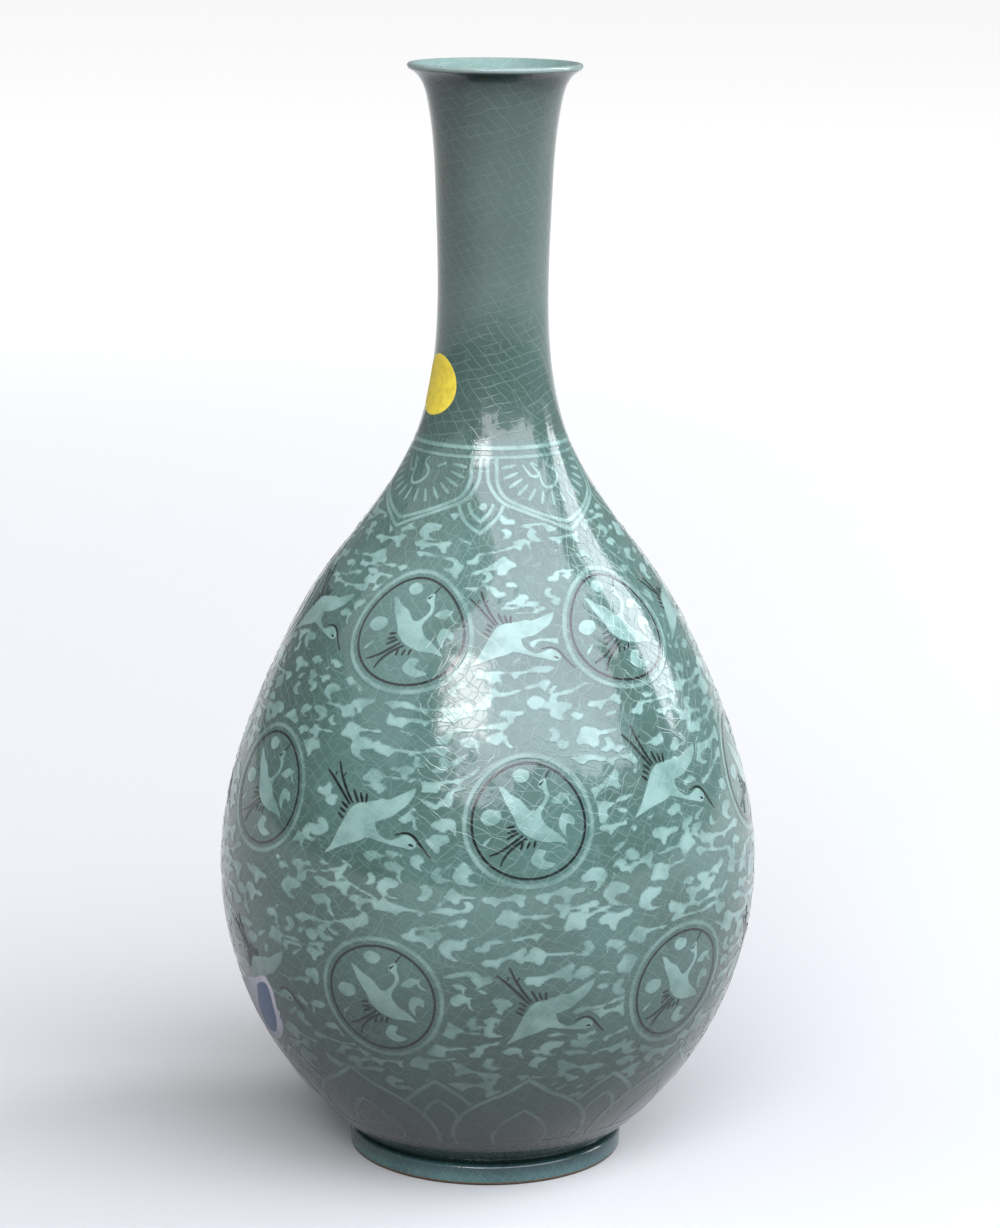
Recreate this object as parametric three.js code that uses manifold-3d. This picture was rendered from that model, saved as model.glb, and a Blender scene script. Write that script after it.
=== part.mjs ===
// Celadon bottle vase: a pear-shaped body, a slender neck and a flared mouth with a rounded lip.
// The clay is thrown in sections that are luted rim to rim, on a turned foot ring. Inlays of slip lie
// flush with the clay: turned lines above the foot and at the collar, and a ring round each roundel.
// Millimetres, +Z up, origin at the centre of the contact face of the foot ring, front towards -Y.
import * as THREE from "three";
import { ParametricGeometry } from "three/addons/geometries/ParametricGeometry.js";
import { mergeVertices, toCreasedNormals } from "three/addons/utils/BufferGeometryUtils.js";
import Module from "manifold-3d";

// Heights that set the vase: the foot ring, and the edge of the mouth above the surface.
const footHeight = 6.6;
const mouthHeight = 344;

// Outside of the body from the foot up: the radius at each station, and its rise above the one before.
const rootRadius = 41.9;
const undersideRadius = 56.3;
const undersideRise = 13.7;
const bellyRadius = 84.95;
const bellyRise = 72.7;
const shoulderRadius = 64.3;
const shoulderRise = 73.6;
const slopeRadius = 57.2;
const slopeRise = 13.4;
const collarRadius = 25.6;
const collarRise = 46.7;

// Outside of the neck from the mouth down: the radius at each station, and its drop below the one before.
const mouthRadius = 26.5;
const flareRadius = 24.1;
const flareDrop = 1.7;
const throatRadius = 20.6;
const throatDrop = 8.3;
const neckRadius = 17.9;
const neckDrop = 31.6;

// Thickness of the clay, square to the outside, and of the floor. The heel is where wall turns to floor.
const rootWall = 9;
const bellyWall = 6;
const collarWall = 5;
const neckWall = 4;
const lipWall = 2;
const floorThickness = 8;
const heelRise = 17;

// Foot ring, and the shallow dish turned into the base inside it.
const footRadius = 43.7;
const footBatter = 0.3;
const footWidth = 7.4;
const footShoulderRound = 1.3;
const footEdgeRound = 0.8;
const footInnerBevel = 1.6;
const baseDish = 1.2;

// Where the thrown sections meet: above the belly, and above the upper collar line.
const bellySeamRise = 6;
const neckSeamRise = 1.4;

// Turned slip lines: width along the clay, and place from the root, the collar or the line beside it.
const petalLineRise = 11.2;
const petalLineWidth = 1;
const footLineDrop = 3.8;
const footLineWidth = 0.8;
const collarLineRise = 4;
const collarUpperWidth = 1.5;
const collarLineDrop = 2.7;
const collarLowerWidth = 1.3;

// Roundel rings in rows round the body. A row has its height from the belly, the angle of its first ring
// from the front and the gap to its second in degrees. The other rings share the rest of the turn.
const ringRadius = 17;
const ringWidth = 1;
const ringsPerRow = 5;
const ringRows = {
  lower: { rise: -21.6, first: -22.4, gap: 68 },
  middle: { rise: 35.4, first: -58.6, gap: 67.6 },
  upper: { rise: 87.6, first: -24.6, gap: 67.3 },
};

// Every inlay is this deep, and its bed is wider and deeper by the clearance.
const inlayDepth = 1;
const inlayClearance = 0.3;

// Facets: turn of a side per row in degrees, longest row, and facets round the axis, a ring and a round.
const outsideTurn = 8;
const insideTurn = 20;
const longestRow = 21;
const facetsAround = 40;
const facetsPerRing = 18;
const roundSteps = 3;

const celadon = new THREE.MeshStandardMaterial({ color: 0x7c978b, roughness: 0.18, metalness: 0 });
const celadonNeck = new THREE.MeshStandardMaterial({ color: 0x6f877d, roughness: 0.2, metalness: 0 });
const footGlaze = new THREE.MeshStandardMaterial({ color: 0x6d9595, roughness: 0.25, metalness: 0 });
const whiteSlip = new THREE.MeshStandardMaterial({ color: 0xa9c9bd, roughness: 0.25, metalness: 0 });
const blackSlip = new THREE.MeshStandardMaterial({ color: 0x273437, roughness: 0.25, metalness: 0 });

const manifold = await Module();
manifold.setup();

// Second derivatives of the natural cubic spline through values at the knots.
function splineBends(knots, values) {
  const last = knots.length - 1;
  const bends = new Array(last + 1).fill(0);
  const sweep = new Array(last + 1).fill(0);
  for (let i = 1; i < last; i++) {
    const before = knots[i] - knots[i - 1];
    const after = knots[i + 1] - knots[i];
    const pivot = 2 * (before + after) - before * sweep[i - 1];
    const jump = (values[i + 1] - values[i]) / after - (values[i] - values[i - 1]) / before;
    sweep[i] = after / pivot;
    bends[i] = (6 * jump - before * bends[i - 1]) / pivot;
  }
  for (let i = last - 1; i > 0; i--) bends[i] -= sweep[i] * bends[i + 1];
  return bends;
}

// A smooth curve through stations, x the radius and y the height, as a potter's rib would draw it.
class ThrownOutline extends THREE.Curve {
  constructor(stations) {
    super();
    this.stations = stations;
    this.knots = [0];
    for (let i = 1; i < stations.length; i++) {
      this.knots.push(this.knots[i - 1] + stations[i].distanceTo(stations[i - 1]));
    }
    this.bends = ["x", "y"].map((axis) => splineBends(this.knots, stations.map((p) => p[axis])));
  }

  get reach() {
    return this.knots.at(-1);
  }

  getPoint(t, target = new THREE.Vector2()) {
    const s = t * this.reach;
    const found = this.knots.findIndex((knot) => knot > s);
    const i = found < 1 ? this.knots.length - 2 : found - 1;
    const span = this.knots[i + 1] - this.knots[i];
    const a = (this.knots[i + 1] - s) / span;
    const b = 1 - a;
    const [x, y] = ["x", "y"].map((axis, k) => {
      const line = a * this.stations[i][axis] + b * this.stations[i + 1][axis];
      const bend = (a ** 3 - a) * this.bends[k][i] + (b ** 3 - b) * this.bends[k][i + 1];
      return line + (bend * span ** 2) / 6;
    });
    return target.set(x, y);
  }
}

const root = new THREE.Vector2(rootRadius, footHeight);
const underside = new THREE.Vector2(undersideRadius, root.y + undersideRise);
const belly = new THREE.Vector2(bellyRadius, underside.y + bellyRise);
const shoulder = new THREE.Vector2(shoulderRadius, belly.y + shoulderRise);
const slope = new THREE.Vector2(slopeRadius, shoulder.y + slopeRise);
const collar = new THREE.Vector2(collarRadius, slope.y + collarRise);
const mouth = new THREE.Vector2(mouthRadius, mouthHeight);
const flare = new THREE.Vector2(flareRadius, mouth.y - flareDrop);
const throat = new THREE.Vector2(throatRadius, flare.y - throatDrop);
const neck = new THREE.Vector2(neckRadius, throat.y - neckDrop);
const outline = new ThrownOutline([
  root, underside, belly, shoulder, slope, collar, neck, throat, flare, mouth,
]);

// Wall thickness at a height, straight between the stations where it is named.
function wallAt(height) {
  const named = [[root, rootWall], [belly, bellyWall], [collar, collarWall], [neck, neckWall], [mouth, lipWall]];
  const above = named.findIndex(([station]) => station.y >= height);
  if (above < 1) return above < 0 ? lipWall : rootWall;
  const [low, lowWall] = named[above - 1];
  const [high, highWall] = named[above];
  return THREE.MathUtils.mapLinear(height, low.y, high.y, lowWall, highWall);
}

// Unit vector square to the outline, out of the clay.
function outward(t) {
  const along = outline.getTangent(t);
  return new THREE.Vector2(along.y, -along.x);
}

// The two sides of the clay as functions of place, 0 at the root and 1 at the mouth.
const outside = (t) => outline.getPoint(t);
const inside = (t) => outside(t).addScaledVector(outward(t), -wallAt(outside(t).y));

// The place where a side of the clay reaches a height.
function placeAt(side, height) {
  let low = 0;
  let high = 1;
  for (let i = 0; i < 40; i++) {
    const middle = (low + high) / 2;
    if (side(middle).y < height) low = middle;
    else high = middle;
  }
  return (low + high) / 2;
}

// Points of a side from one place to another, closer together where it turns more.
function rows(side, from, to, turn) {
  const fine = 240;
  const places = Array.from({ length: fine + 1 }, (_, i) => THREE.MathUtils.lerp(from, to, i / fine));
  const points = places.map(side);
  const steps = points.slice(1).map((point, i) => point.clone().sub(points[i]));
  const measure = [0];
  steps.forEach((step, i) => {
    const before = steps[Math.max(i - 1, 0)];
    const cosine = step.dot(before) / step.length() / before.length();
    const degrees = THREE.MathUtils.radToDeg(Math.acos(Math.min(1, cosine)));
    measure.push(measure[i] + Math.max(degrees / turn, step.length() / longestRow));
  });
  const count = Math.max(1, Math.ceil(measure.at(-1)));
  const picked = [points[0]];
  for (let k = 1; k < count; k++) {
    picked.push(points[measure.findIndex((m) => m >= (k * measure.at(-1)) / count)]);
  }
  return [...picked, points.at(-1)];
}

// An arc of points about a centre, anticlockwise through an angle in radians.
function arc(centre, radius, from, through, steps = roundSteps) {
  return Array.from({ length: steps + 1 }, (_, i) => {
    const angle = from + (through * i) / steps;
    return new THREE.Vector2(Math.cos(angle), Math.sin(angle)).multiplyScalar(radius).add(centre);
  });
}

// Turns a profile of radius and height about the Z axis.
function turned(profile) {
  return new THREE.LatheGeometry(profile, facetsAround).rotateX(Math.PI / 2);
}

function closed(profile) {
  return [...profile, profile[0].clone()];
}

function solidOf(geometry) {
  const bare = new THREE.BufferGeometry().setIndex(geometry.getIndex());
  bare.setAttribute("position", geometry.getAttribute("position"));
  const merged = mergeVertices(bare);
  const vertProperties = merged.getAttribute("position").array;
  const triVerts = new Uint32Array(merged.getIndex().array);
  return new manifold.Manifold(new manifold.Mesh({ numProp: 3, vertProperties, triVerts }));
}

function geometryOf(solid) {
  const { vertProperties, triVerts } = solid.getMesh();
  const geometry = new THREE.BufferGeometry();
  geometry.setAttribute("position", new THREE.BufferAttribute(vertProperties, 3));
  geometry.setIndex(new THREE.BufferAttribute(triVerts, 1));
  return toCreasedNormals(geometry);
}

function namedMesh(name, geometry, material) {
  const mesh = new THREE.Mesh(geometry, material);
  mesh.name = name;
  return mesh;
}

// A turned line of slip: its centre as a place, and its half width.
class SlipLine {
  constructor(name, height, width, material) {
    this.name = name;
    this.centre = placeAt(outside, height);
    this.half = width / 2;
    this.material = material;
  }

  // The two places where it ends, grown by a clearance.
  ends(clearance) {
    const half = (this.half + clearance) / outline.reach;
    return [this.centre - half, this.centre + half];
  }

  // The two corners of its bed, grown by a clearance, the lower one first.
  bed(clearance) {
    const down = outward(this.centre).multiplyScalar(-inlayDepth - clearance);
    return this.ends(clearance).map((end) => outside(end).add(down));
  }

  mesh() {
    const [low, high] = this.ends(0).map(outside);
    const [bedLow, bedHigh] = this.bed(0);
    return namedMesh(this.name, turned(closed([low, high, bedHigh, bedLow])), this.material);
  }
}

// A ring of slip laid on the body round a centre, given as a place and an angle from the front.
class SlipRing {
  constructor(name, place, angle) {
    this.name = name;
    this.place = place;
    this.angle = angle;
  }

  // A spot of the flat drawing, x to the right and y up, laid on the clay by unrolling the cone that
  // touches it at the centre, and lifted out of the clay.
  laid(x, y, lift) {
    const toTip = -outside(this.place).x / outline.getTangent(this.place).x;
    const slant = Math.sign(toTip) * Math.hypot(x, toTip - y);
    const place = this.place + (toTip - slant) / outline.reach;
    const point = outside(place).addScaledVector(outward(place), lift);
    const turn = (slant * Math.atan(x / (toTip - y))) / outside(place).x;
    const front = new THREE.Vector3(0, -point.x, point.y);
    return front.applyAxisAngle(new THREE.Vector3(0, 0, 1), this.angle + turn);
  }

  // The ring as a band of square section, grown by a clearance, from its bed up to a lift.
  band(clearance, lift) {
    const half = ringWidth / 2 + clearance;
    const bed = -inlayDepth - clearance;
    const section = [[-half, bed], [-half, lift], [half, lift], [half, bed]];
    const spot = (u, v, target) => {
      const [across, height] = section[Math.round(u * section.length) % section.length];
      const [x, y] = [Math.cos, Math.sin].map((way) => (ringRadius + across) * way(2 * Math.PI * v));
      target.copy(this.laid(x, y, height));
    };
    return new ParametricGeometry(spot, section.length, facetsPerRing);
  }

  mesh() {
    return namedMesh(this.name, this.band(0, 0), blackSlip);
  }

  // What is cut out of the body to bed it.
  cutter() {
    return solidOf(this.band(inlayClearance, inlayDepth));
  }
}

const petalLineHeight = root.y + petalLineRise;
const collarLineHeight = collar.y + collarLineRise;
const slipLines = [
  new SlipLine("foot_line", petalLineHeight - footLineDrop, footLineWidth, blackSlip),
  new SlipLine("petal_base_line", petalLineHeight, petalLineWidth, whiteSlip),
  new SlipLine("collar_line_lower", collarLineHeight - collarLineDrop, collarLowerWidth, whiteSlip),
  new SlipLine("collar_line_upper", collarLineHeight, collarUpperWidth, whiteSlip),
];
const bellySeam = belly.y + bellySeamRise;
const neckSeam = collarLineHeight + collarUpperWidth / 2 + neckSeamRise;

const slipRings = Object.entries(ringRows).flatMap(([row, { rise, first, gap }]) => {
  const place = placeAt(outside, belly.y + rise);
  const second = THREE.MathUtils.degToRad(first + gap);
  const step = (2 * Math.PI - THREE.MathUtils.degToRad(gap)) / (ringsPerRow - 1);
  return Array.from({ length: ringsPerRow }, (_, i) => {
    return new SlipRing(`roundel_ring_${row}_${i + 1}`, place, second + step * i);
  });
});

// The outside between two places, with the grooves of the slip lines that lie there.
function grooved(from, to) {
  const points = [];
  let start = from;
  for (const line of slipLines) {
    const [low, high] = line.ends(inlayClearance);
    if (low < from || high > to) continue;
    points.push(...rows(outside, start, low, outsideTurn), ...line.bed(inlayClearance));
    start = high;
  }
  points.push(...rows(outside, start, to, outsideTurn));
  return points;
}

// The inside between two heights, from the upper one down.
function hollow(high, low) {
  return rows(inside, placeAt(inside, high), placeAt(inside, low), insideTurn);
}

// A turned body with the beds of the slip rings cut into it.
function carved(profile) {
  const cutters = slipRings.map((ring) => ring.cutter());
  return geometryOf(solidOf(turned(profile)).subtract(manifold.Manifold.union(cutters)));
}

function footRing() {
  const top = footRadius - footShoulderRound;
  const edge = footRadius - footBatter - footEdgeRound;
  const inner = footRadius - footWidth;
  const quarter = Math.PI / 2;
  return closed([
    new THREE.Vector2(inner + footInnerBevel, 0),
    ...arc(new THREE.Vector2(edge, footEdgeRound), footEdgeRound, -quarter, quarter),
    ...arc(new THREE.Vector2(top, footHeight - footShoulderRound), footShoulderRound, 0, quarter),
    new THREE.Vector2(inner, footHeight),
    new THREE.Vector2(inner, footInnerBevel),
  ]);
}

// The wall runs down to the heel, and a bowl from there to the middle of the floor.
function lowerBody() {
  const floorHeight = footHeight + floorThickness;
  const walls = hollow(bellySeam, floorHeight + heelRise);
  const heel = walls.at(-1);
  const downward = heel.clone().sub(walls.at(-2)).normalize();
  const bowl = new THREE.CubicBezierCurve(
    heel,
    heel.clone().addScaledVector(downward, heelRise),
    new THREE.Vector2(heel.x / 2, floorHeight),
    new THREE.Vector2(0, floorHeight),
  );
  return [
    new THREE.Vector2(0, footHeight + baseDish),
    new THREE.Vector2(footRadius - footWidth, footHeight),
    ...grooved(0, placeAt(outside, bellySeam)),
    ...walls,
    ...bowl.getPoints(2 * roundSteps).slice(1),
  ];
}

function upperBody() {
  return closed([
    ...grooved(placeAt(outside, bellySeam), placeAt(outside, neckSeam)),
    ...hollow(neckSeam, bellySeam),
  ]);
}

// The neck ends in a lip rounded over its own thickness.
function neckAndLip() {
  const square = outward(1);
  const lipCentre = outside(1).addScaledVector(square, -lipWall / 2);
  return closed([
    ...rows(outside, placeAt(outside, neckSeam), 1, outsideTurn),
    ...arc(lipCentre, lipWall / 2, square.angle(), Math.PI, 2 * roundSteps).slice(1, -1),
    ...rows(inside, 1, placeAt(inside, neckSeam), insideTurn),
  ]);
}

const vase = new THREE.Group();
vase.add(
  namedMesh("foot_ring", turned(footRing()), footGlaze),
  namedMesh("lower_body", carved(lowerBody()), celadon),
  namedMesh("upper_body", carved(upperBody()), celadon),
  namedMesh("neck", turned(neckAndLip()), celadonNeck),
  ...slipLines.map((line) => line.mesh()),
  ...slipRings.map((ring) => ring.mesh()),
);

export default vase;
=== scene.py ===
"""Celadon bottle vase: the thrown stoneware, its slip inlay under a crackled glaze, and a plain studio.

Drawings are in millimetres. Angles go round the vase from the front (-Y), positive towards +X.
"""

import logging
import math
from abc import ABC, abstractmethod
from dataclasses import dataclass, field
from enum import Enum
from typing import Sequence

import bpy
import numpy as np
from mathutils import Matrix, Vector, noise
from mathutils.geometry import delaunay_2d_cdt


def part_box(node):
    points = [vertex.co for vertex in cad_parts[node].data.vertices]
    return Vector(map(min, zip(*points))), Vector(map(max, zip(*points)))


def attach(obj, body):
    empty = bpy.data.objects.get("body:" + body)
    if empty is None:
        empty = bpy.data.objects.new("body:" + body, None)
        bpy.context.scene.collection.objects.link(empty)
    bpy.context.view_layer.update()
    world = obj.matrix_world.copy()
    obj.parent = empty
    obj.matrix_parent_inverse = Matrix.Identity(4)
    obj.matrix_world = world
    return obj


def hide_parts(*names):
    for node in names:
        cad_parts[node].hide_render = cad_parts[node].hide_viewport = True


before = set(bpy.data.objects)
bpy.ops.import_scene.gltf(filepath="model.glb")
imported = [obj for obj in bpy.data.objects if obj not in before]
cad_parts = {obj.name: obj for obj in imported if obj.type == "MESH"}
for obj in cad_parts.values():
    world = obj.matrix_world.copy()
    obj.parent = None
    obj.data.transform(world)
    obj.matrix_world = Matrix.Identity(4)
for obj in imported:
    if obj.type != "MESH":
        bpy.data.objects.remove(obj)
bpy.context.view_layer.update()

MM = 0.001
BODY = "root"
LOG = logging.getLogger("vase")

# The sockets by which a Mix node blends two colours.
SHARE, FIRST, SECOND, BLENDED = 0, 6, 7, 2
# How many straight sides a drawn circle has.
CIRCLE_SIDES = 96
# How far the middle of a filled figure and of a filled line of slip stands proud of the clay.
FIGURE_LIFT = 0.12
LINE_LIFT = 0.11

Flat = Sequence[tuple[float, float]]
Laid = tuple[np.ndarray, np.ndarray]
Tree = bpy.types.NodeTree
Socket = bpy.types.NodeSocket


def linear(hex_code: str) -> tuple[float, float, float, float]:
    """Turns an sRGB colour into the linear one that a shader takes.

    Args:
        hex_code: Six hex digits, with or without a leading hash.

    Returns:
        Red, green, blue and a full alpha.
    """
    digits = hex_code.lstrip("#")
    channels = [int(digits[i : i + 2], 16) / 255 for i in (0, 2, 4)]
    bent = [c / 12.92 if c <= 0.04045 else ((c + 0.055) / 1.055) ** 2.4 for c in channels]
    return (bent[0], bent[1], bent[2], 1.0)


def add_node(
    tree: Tree,
    kind: str,
    settings: dict[str | int, object] | None = None,
    links: dict[str | int, Socket] | None = None,
    out: str | int = 0,
) -> Socket:
    """Adds a shader node with its settings and links.

    Args:
        tree: The node tree that gets it.
        kind: Its type, without the ShaderNode in front.
        settings: Properties and input values by name or number.
        links: Output sockets by the input that they feed.
        out: The name or number of the output that is wanted.

    Returns:
        That output.
    """
    node = tree.nodes.new(f"ShaderNode{kind}")
    for name, value in (settings or {}).items():
        if isinstance(name, str) and hasattr(node, name):
            setattr(node, name, value)
        else:
            node.inputs[name].default_value = value
    for name, socket in (links or {}).items():
        tree.links.new(socket, node.inputs[name])
    return node.outputs[out]


def rounded(points: Flat, corners: Sequence[int] = (), closed: bool = True, step: float = 0.7) -> np.ndarray:
    """Draws a smooth line through points, as a carver's knife would.

    Args:
        points: The points that it passes.
        corners: Numbers of the points where it turns sharply.
        closed: Whether it comes back to its start.
        step: Longest distance between the points returned.

    Returns:
        Points along the line, one row each.
    """
    spots = np.array(points, float)
    count = len(spots)
    drawn = []
    for i in range(count if closed else count - 1):
        start, end = spots[i], spots[(i + 1) % count]
        before = spots[i - 1] if (closed or i > 0) and i not in corners else start
        turns = (i + 1) % count in corners
        after = spots[(i + 2) % count] if (closed or i + 2 < count) and not turns else end
        leave, arrive = (end - before) / 2, (after - start) / 2
        steps = max(2, math.ceil(np.linalg.norm(end - start) / step))
        t = (np.arange(steps) / steps)[:, None]
        drawn.append(
            (2 * t**3 - 3 * t**2 + 1) * start
            + (t**3 - 2 * t**2 + t) * leave
            + (3 * t**2 - 2 * t**3) * end
            + (t**3 - t**2) * arrive
        )
    if not closed:
        drawn.append(spots[-1:])
    return np.concatenate(drawn)


def per_metre(length: float) -> float:
    """Turns the real length of one repeat of a pattern, in millimetres, to the scale of its texture."""
    return 1 / (length * MM)


def unit(vectors: np.ndarray) -> np.ndarray:
    """Scales each row to a length of one."""
    return vectors / np.maximum(np.linalg.norm(vectors, axis=-1, keepdims=True), 1e-12)


def circle(radius: float) -> np.ndarray:
    """Draws a circle about the origin."""
    turn = 2 * math.pi * np.arange(CIRCLE_SIDES) / CIRCLE_SIDES
    return np.stack([np.cos(turn), np.sin(turn)], axis=1) * radius


@dataclass
class ThrownForm:
    """The profile that the potter's rib draws, through stations of radius and height."""

    stations: Flat = (
        (41.9, 6.6), (56.3, 20.3), (84.95, 93.0), (64.3, 166.6), (57.2, 180.0), (25.6, 226.7),
        (17.9, 302.4), (20.6, 334.0), (24.1, 342.3), (26.5, 344.0),
    )
    walls: Flat = ((6.6, 9.0), (93.0, 6.0), (226.7, 5.0), (302.4, 4.0), (344.0, 2.0))
    samples: int = 6001
    places: np.ndarray = field(init=False)
    curve: np.ndarray = field(init=False)
    square: np.ndarray = field(init=False)

    def __post_init__(self) -> None:
        """Draws the natural cubic spline through the stations as a fine table."""
        points = np.array(self.stations)
        spans = np.hypot(*np.diff(points, axis=0).T)
        knots = np.concatenate([[0.0], np.cumsum(spans)])
        slopes = np.diff(points, axis=0) / spans[:, None]
        system = np.eye(len(knots))
        jumps = np.zeros_like(points)
        for i in range(1, len(knots) - 1):
            system[i, i - 1 : i + 2] = spans[i - 1], 2 * (spans[i - 1] + spans[i]), spans[i]
            jumps[i] = 6 * (slopes[i] - slopes[i - 1])
        bends = np.linalg.solve(system, jumps)
        self.places = np.linspace(0, knots[-1], self.samples)
        i = np.clip(np.searchsorted(knots, self.places, side="right") - 1, 0, len(spans) - 1)
        a = ((knots[i + 1] - self.places) / spans[i])[:, None]
        b = 1 - a
        sag = ((a**3 - a) * bends[i] + (b**3 - b) * bends[i + 1]) * (spans[i] ** 2)[:, None] / 6
        self.curve = a * points[i] + b * points[i + 1] + sag
        along = unit(np.gradient(self.curve, self.places, axis=0))
        self.square = np.stack([along[:, 1], -along[:, 0]], axis=1)

    def at(self, place: np.ndarray) -> Laid:
        """Reads the profile.

        Args:
            place: Distances along it from its lowest station.

        Returns:
            Radius and height there, and the direction square to the clay.
        """
        spot = np.stack([np.interp(place, self.places, self.curve[:, k]) for k in (0, 1)], axis=-1)
        square = np.stack([np.interp(place, self.places, self.square[:, k]) for k in (0, 1)], axis=-1)
        return spot, unit(square)

    def place_of(self, height: float | np.ndarray) -> np.ndarray:
        """The distance along the profile at which it reaches a height."""
        return np.interp(height, self.curve[:, 1], self.places)

    def wall(self, height: np.ndarray) -> np.ndarray:
        """The thickness of the clay at a height."""
        return np.interp(height, *np.array(self.walls).T)

    def around(self, angle: np.ndarray, place: np.ndarray) -> Laid:
        """Finds points of the outside of the clay.

        Args:
            angle: Angles round the vase in radians.
            place: Distances along the profile.

        Returns:
            The points, and the directions out of the clay.
        """
        spot, square = self.at(place)
        sine, cosine = np.sin(angle), np.cos(angle)
        points = np.stack([spot[..., 0] * sine, -spot[..., 0] * cosine, spot[..., 1]], axis=-1)
        normals = np.stack([square[..., 0] * sine, -square[..., 0] * cosine, square[..., 1]], axis=-1)
        return points, normals

    def line(self, degrees_and_heights: np.ndarray) -> Laid:
        """The same, from rows of an angle in degrees and a height."""
        angle, height = np.asarray(degrees_and_heights, float).T
        return self.around(np.radians(angle), self.place_of(height))


@dataclass
class Spot:
    """A place on the clay where a flat drawing is laid, by unrolling the cone that touches it there."""

    form: ThrownForm
    degrees: float
    height: float
    tilt: float = 0.0
    size: float = 1.0
    mirrored: bool = False

    def cone(self) -> tuple[float, float, float]:
        """Finds the cone that touches the clay at the spot.

        Returns:
            The spot's place on the profile, its radius, and its distance from the cone's tip.
        """
        centre = float(self.form.place_of(self.height))
        (radius, _), (_, fall) = self.form.at(np.array(centre))
        return centre, radius, radius / math.copysign(max(abs(fall), 1e-5), fall)

    def laid(self, drawing: np.ndarray) -> Laid:
        """Lays a drawing on the clay.

        Args:
            drawing: Rows of x to the right and y up.

        Returns:
            The points on the clay, and the directions out of it.
        """
        x, y = (np.asarray(drawing, float) * self.size).T
        x = -x if self.mirrored else x
        tilt = math.radians(self.tilt)
        x, y = x * math.cos(tilt) - y * math.sin(tilt), x * math.sin(tilt) + y * math.cos(tilt)
        centre, radius, to_tip = self.cone()
        slant = math.copysign(1, to_tip) * np.hypot(x, to_tip - y)
        turn = slant * np.arctan(x / (to_tip - y)) / radius
        return self.form.around(math.radians(self.degrees) + turn, centre + to_tip - slant)

    def drawn(self, angle: np.ndarray, place: np.ndarray) -> np.ndarray:
        """Finds where points of the clay lie in the drawing.

        Args:
            angle: Their angles round the vase from the spot, in radians.
            place: Their distances along the profile.

        Returns:
            Rows of x and y.
        """
        centre, radius, to_tip = self.cone()
        slant = to_tip + centre - place
        turn = angle * radius / slant
        x, y = slant * np.sin(turn), to_tip - slant * np.cos(turn)
        tilt = math.radians(self.tilt)
        x, y = x * math.cos(tilt) + y * math.sin(tilt), y * math.cos(tilt) - x * math.sin(tilt)
        return np.stack([-x if self.mirrored else x, y], axis=-1) / self.size


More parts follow.
